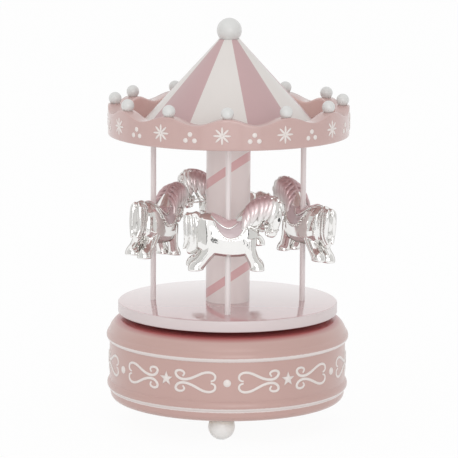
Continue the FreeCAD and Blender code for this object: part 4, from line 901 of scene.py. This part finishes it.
# Ring ornament: an eight-rayed star under each crest and three dots under each hollow, put on the ring by
# hand in thick white paint.
RAY_LENGTH, RAY_HALF, RAY_RISE = 4.05, 0.52, 0.35
STAR_HEIGHT = 138.8
FIRST_STAR = math.radians(-3)
RING_DOTS = ((0, 139.1), (-2.06, 136.4), (2.06, 136.4))
RING_DOT, RING_DOT_RISE = 1.1, 0.42
mesh = bmesh.new()
for wave in range(WAVES):
    middle = FIRST_STAR + math.tau * wave / WAVES
    petals = []
    for ray in range(8):
        leaf = (Matrix.Rotation(math.tau * ray / 8, 4, "Z") @ Matrix.Translation((RAY_LENGTH / 2, 0, 0))
                @ Matrix.Diagonal((RAY_LENGTH / 2, RAY_HALF, RAY_RISE, 1)))
        petals += bmesh.ops.create_uvsphere(mesh, u_segments=10, v_segments=8, radius=1, matrix=leaf)["verts"]
    wrap(petals, ring_radius, middle, STAR_HEIGHT)
    for along, height in RING_DOTS:
        dot = add_dot(mesh, RING_DOT, RING_DOT_RISE, (along, 0))
        wrap(dot, ring_radius, middle + math.pi / WAVES, height)
ring_ornament = dress(settle(mesh, "ring_ornament", 60), relief_paint)
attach(ring_ornament, "carousel")


# Rim balls: twelve small turned wooden balls in white lacquer, one on each crest of the ring, held by a
# short pin.
RIM_BALL, RIM_BALL_RISE = 2.9, 2.1
ring_middle = ring_radius - RING_WALL / 2
white_lacquer = lacquer("white_lacquer", (0.71, 0.71, 0.695), coat=0.5, gloss=0.32)
mesh = bmesh.new()
for wave in range(WAVES):
    angle = FIRST_CREST + math.tau * wave / WAVES - math.pi / 2
    spot = (ring_middle * math.cos(angle), ring_middle * math.sin(angle), ring_top + RIM_BALL_RISE)
    add_ball(mesh, Vector(spot) * MM, RIM_BALL * MM, 40, 20)
rim_balls = dress(settle(mesh, "rim_balls_turned"), white_lacquer)
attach(rim_balls, "carousel")
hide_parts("rim_balls")


# Cone: the roof, turned from wood, with ten sectors brushed by hand in white and pink. It is glued on the
# deck.
SEAMS = (-67.8, -28.7, 13.6, 48.8, 83.6, 118.4, 153.2, 188.0, 222.8, 257.5)
low, high = (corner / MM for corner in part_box("canopy_cone"))
cone_low, cone_top, cone_radius = low.z, high.z, high.x
CONE_TOP_RADIUS = 4.65
cone_profile = ((0, cone_low), (cone_radius, cone_low), (CONE_TOP_RADIUS, cone_top), (0, cone_top))
mesh = bmesh.new()
for index, start in enumerate(SEAMS):
    width = math.radians((SEAMS[(index + 1) % len(SEAMS)] - start) % 360)
    first = math.radians(start) - math.pi / 2
    edge = []
    for radius, height in cone_profile:
        spot = Vector((radius * math.cos(first), radius * math.sin(first), height)) * MM
        edge.append(mesh.verts.new(spot))
    runs = [mesh.edges.new(pair) for pair in zip(edge, edge[1:])]
    before = set(mesh.faces)
    bmesh.ops.spin(mesh, geom=edge + runs, axis=(0, 0, 1), angle=width, steps=24)
    for face in set(mesh.faces) - before:
        face.material_index = index % 2
bmesh.ops.remove_doubles(mesh, verts=mesh.verts, dist=0.002 * MM)
bmesh.ops.recalc_face_normals(mesh, faces=mesh.faces)
cone_pink = lacquer("cone_pink", (0.545, 0.365, 0.37))
cone_white = lacquer("cone_white", (0.74, 0.70, 0.67))
cone = dress(settle(mesh, "cone_sectors"), cone_pink, cone_white)
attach(cone, "carousel")
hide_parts("canopy_cone")


# Finial: a turned wooden ball in the same white lacquer as the rim balls, doweled into the top of the
# cone.
low, high = (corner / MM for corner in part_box("finial_ball"))
finial_radius = high.x
mesh = bmesh.new()
add_ball(mesh, Vector((0, 0, high.z - finial_radius)) * MM, finial_radius * MM)
finial = dress(settle(mesh, "finial_turned"), white_lacquer)
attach(finial, "carousel")
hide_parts("finial_ball")


# Floor: a plain white sheet under the box. The camera and the silver see it as white, with only a little
# of the shadow on it.
def white_to_the_eye(tree, plain, share):
    """Mix white into a shader for the rays that the camera follows."""
    path = tree.nodes.new("ShaderNodeLightPath")
    seen = path.outputs["Is Camera Ray"]
    for kind in ("Is Glossy Ray", "Is Transmission Ray"):
        seen = sum_node(tree, "MAXIMUM", seen, path.outputs[kind])
    white = tree.nodes.new("ShaderNodeEmission")
    white.inputs["Strength"].default_value = 1.0
    mix = tree.nodes.new("ShaderNodeMixShader")
    tree.links.new(sum_node(tree, "MULTIPLY", seen, share), mix.inputs[0])
    tree.links.new(plain, mix.inputs[1])
    tree.links.new(white.outputs[0], mix.inputs[2])
    return mix.outputs[0]


mesh = bmesh.new()
bmesh.ops.create_grid(mesh, x_segments=1, y_segments=1, size=6)
floor = settle(mesh, "floor")
material, tree, bsdf = shader("floor_white")
bsdf.inputs["Base Color"].default_value = (0.95, 0.95, 0.95, 1)
bsdf.inputs["Roughness"].default_value = 0.9
output = tree.nodes["Material Output"]
tree.links.new(white_to_the_eye(tree, bsdf.outputs[0], 0.95), output.inputs["Surface"])
dress(floor, material)


# Light: an even white surround, a large soft lamp from the upper left and one low from the front, both
# at a plain level.
SURROUND = 0.77
world = bpy.data.worlds.new("surround")
bpy.context.scene.world = world
world.use_nodes = True
tree = world.node_tree
plain = tree.nodes["Background"]
plain.inputs["Color"].default_value = (1, 1, 1, 1)
plain.inputs["Strength"].default_value = SURROUND
tree.links.new(white_to_the_eye(tree, plain.outputs[0], 1.0), tree.nodes["World Output"].inputs["Surface"])
for name, place, size, power in (("key", (-1.1, -1.3, 1.5), 1.2, 4), ("front", (0.3, -1.9, 0.4), 1.2, 8)):
    lamp = bpy.data.lights.new(name, "AREA")
    lamp.size = size
    lamp.energy = power
    holder = bpy.data.objects.new(name, lamp)
    holder.location = place
    holder.rotation_euler = (Vector((0, 0, 0.09)) - Vector(place)).to_track_quat("-Z", "Y").to_euler()
    bpy.context.collection.objects.link(holder)


# Tent: the grey sides of a light tent, two dark posts and three low stands in front, seen by reflections
# only. The silver shows them as soft grey bands and thin dark lines. Each sheet has a turn in degrees from
# the front, a width and a height in metres.
TENT_RADIUS = 0.36
SIDE_TURNS = (-34, -49, -64, -79, -94, 37, 52, 67, 82, 97)
TENT_SHEETS = {
    "tent_posts": ((0.04, 0.04, 0.04), (
        (-25, 0.018, 0.5), (29, 0.014, 0.5), (-8, 0.010, 0.16), (-5.5, 0.012, 0.04), (11, 0.016, 0.13))),
    "tent_sides": ((0.86, 0.86, 0.845), tuple((turn, 0.10, 0.5) for turn in SIDE_TURNS)),
}
for name, (grey, sheets) in TENT_SHEETS.items():
    mesh = bmesh.new()
    for turn, wide, tall in sheets:
        place = (Matrix.Rotation(math.radians(turn), 4, "Z")
                 @ Matrix.Translation((0, -TENT_RADIUS, tall / 2)) @ Matrix.Diagonal((wide, 0.004, tall, 1)))
        bmesh.ops.create_cube(mesh, size=1, matrix=place)
    tent = settle(mesh, name)
    material, tree, bsdf = shader(name)
    bsdf.inputs["Base Color"].default_value = (*grey, 1)
    bsdf.inputs["Roughness"].default_value = 0.9
    dress(tent, material)
    tent.visible_camera = False
    tent.visible_diffuse = False
    tent.visible_shadow = False
    tent.visible_transmission = False


# Camera: a long lens, a little above the canopy's edge and square on to the front, tilted by a third of a
# degree as in the photograph.
EYE_PLACE, EYE_AIM = Vector((0, -1.3801, 0.3238)), Vector((0, 0, 0.0886))
TILT = math.radians(0.35)
camera = bpy.data.cameras.new("camera")
camera.sensor_width = 36
camera.lens = 241.9
camera.shift_x = 0.002
viewer = bpy.data.objects.new("camera", camera)
viewer.location = EYE_PLACE
aim = (EYE_AIM - EYE_PLACE).to_track_quat("-Z", "Y").to_matrix() @ Matrix.Rotation(TILT, 3, "Z")
viewer.rotation_euler = aim.to_euler()
bpy.context.collection.objects.link(viewer)
bpy.context.scene.camera = viewer
bpy.context.scene.view_settings.view_transform = "Standard"
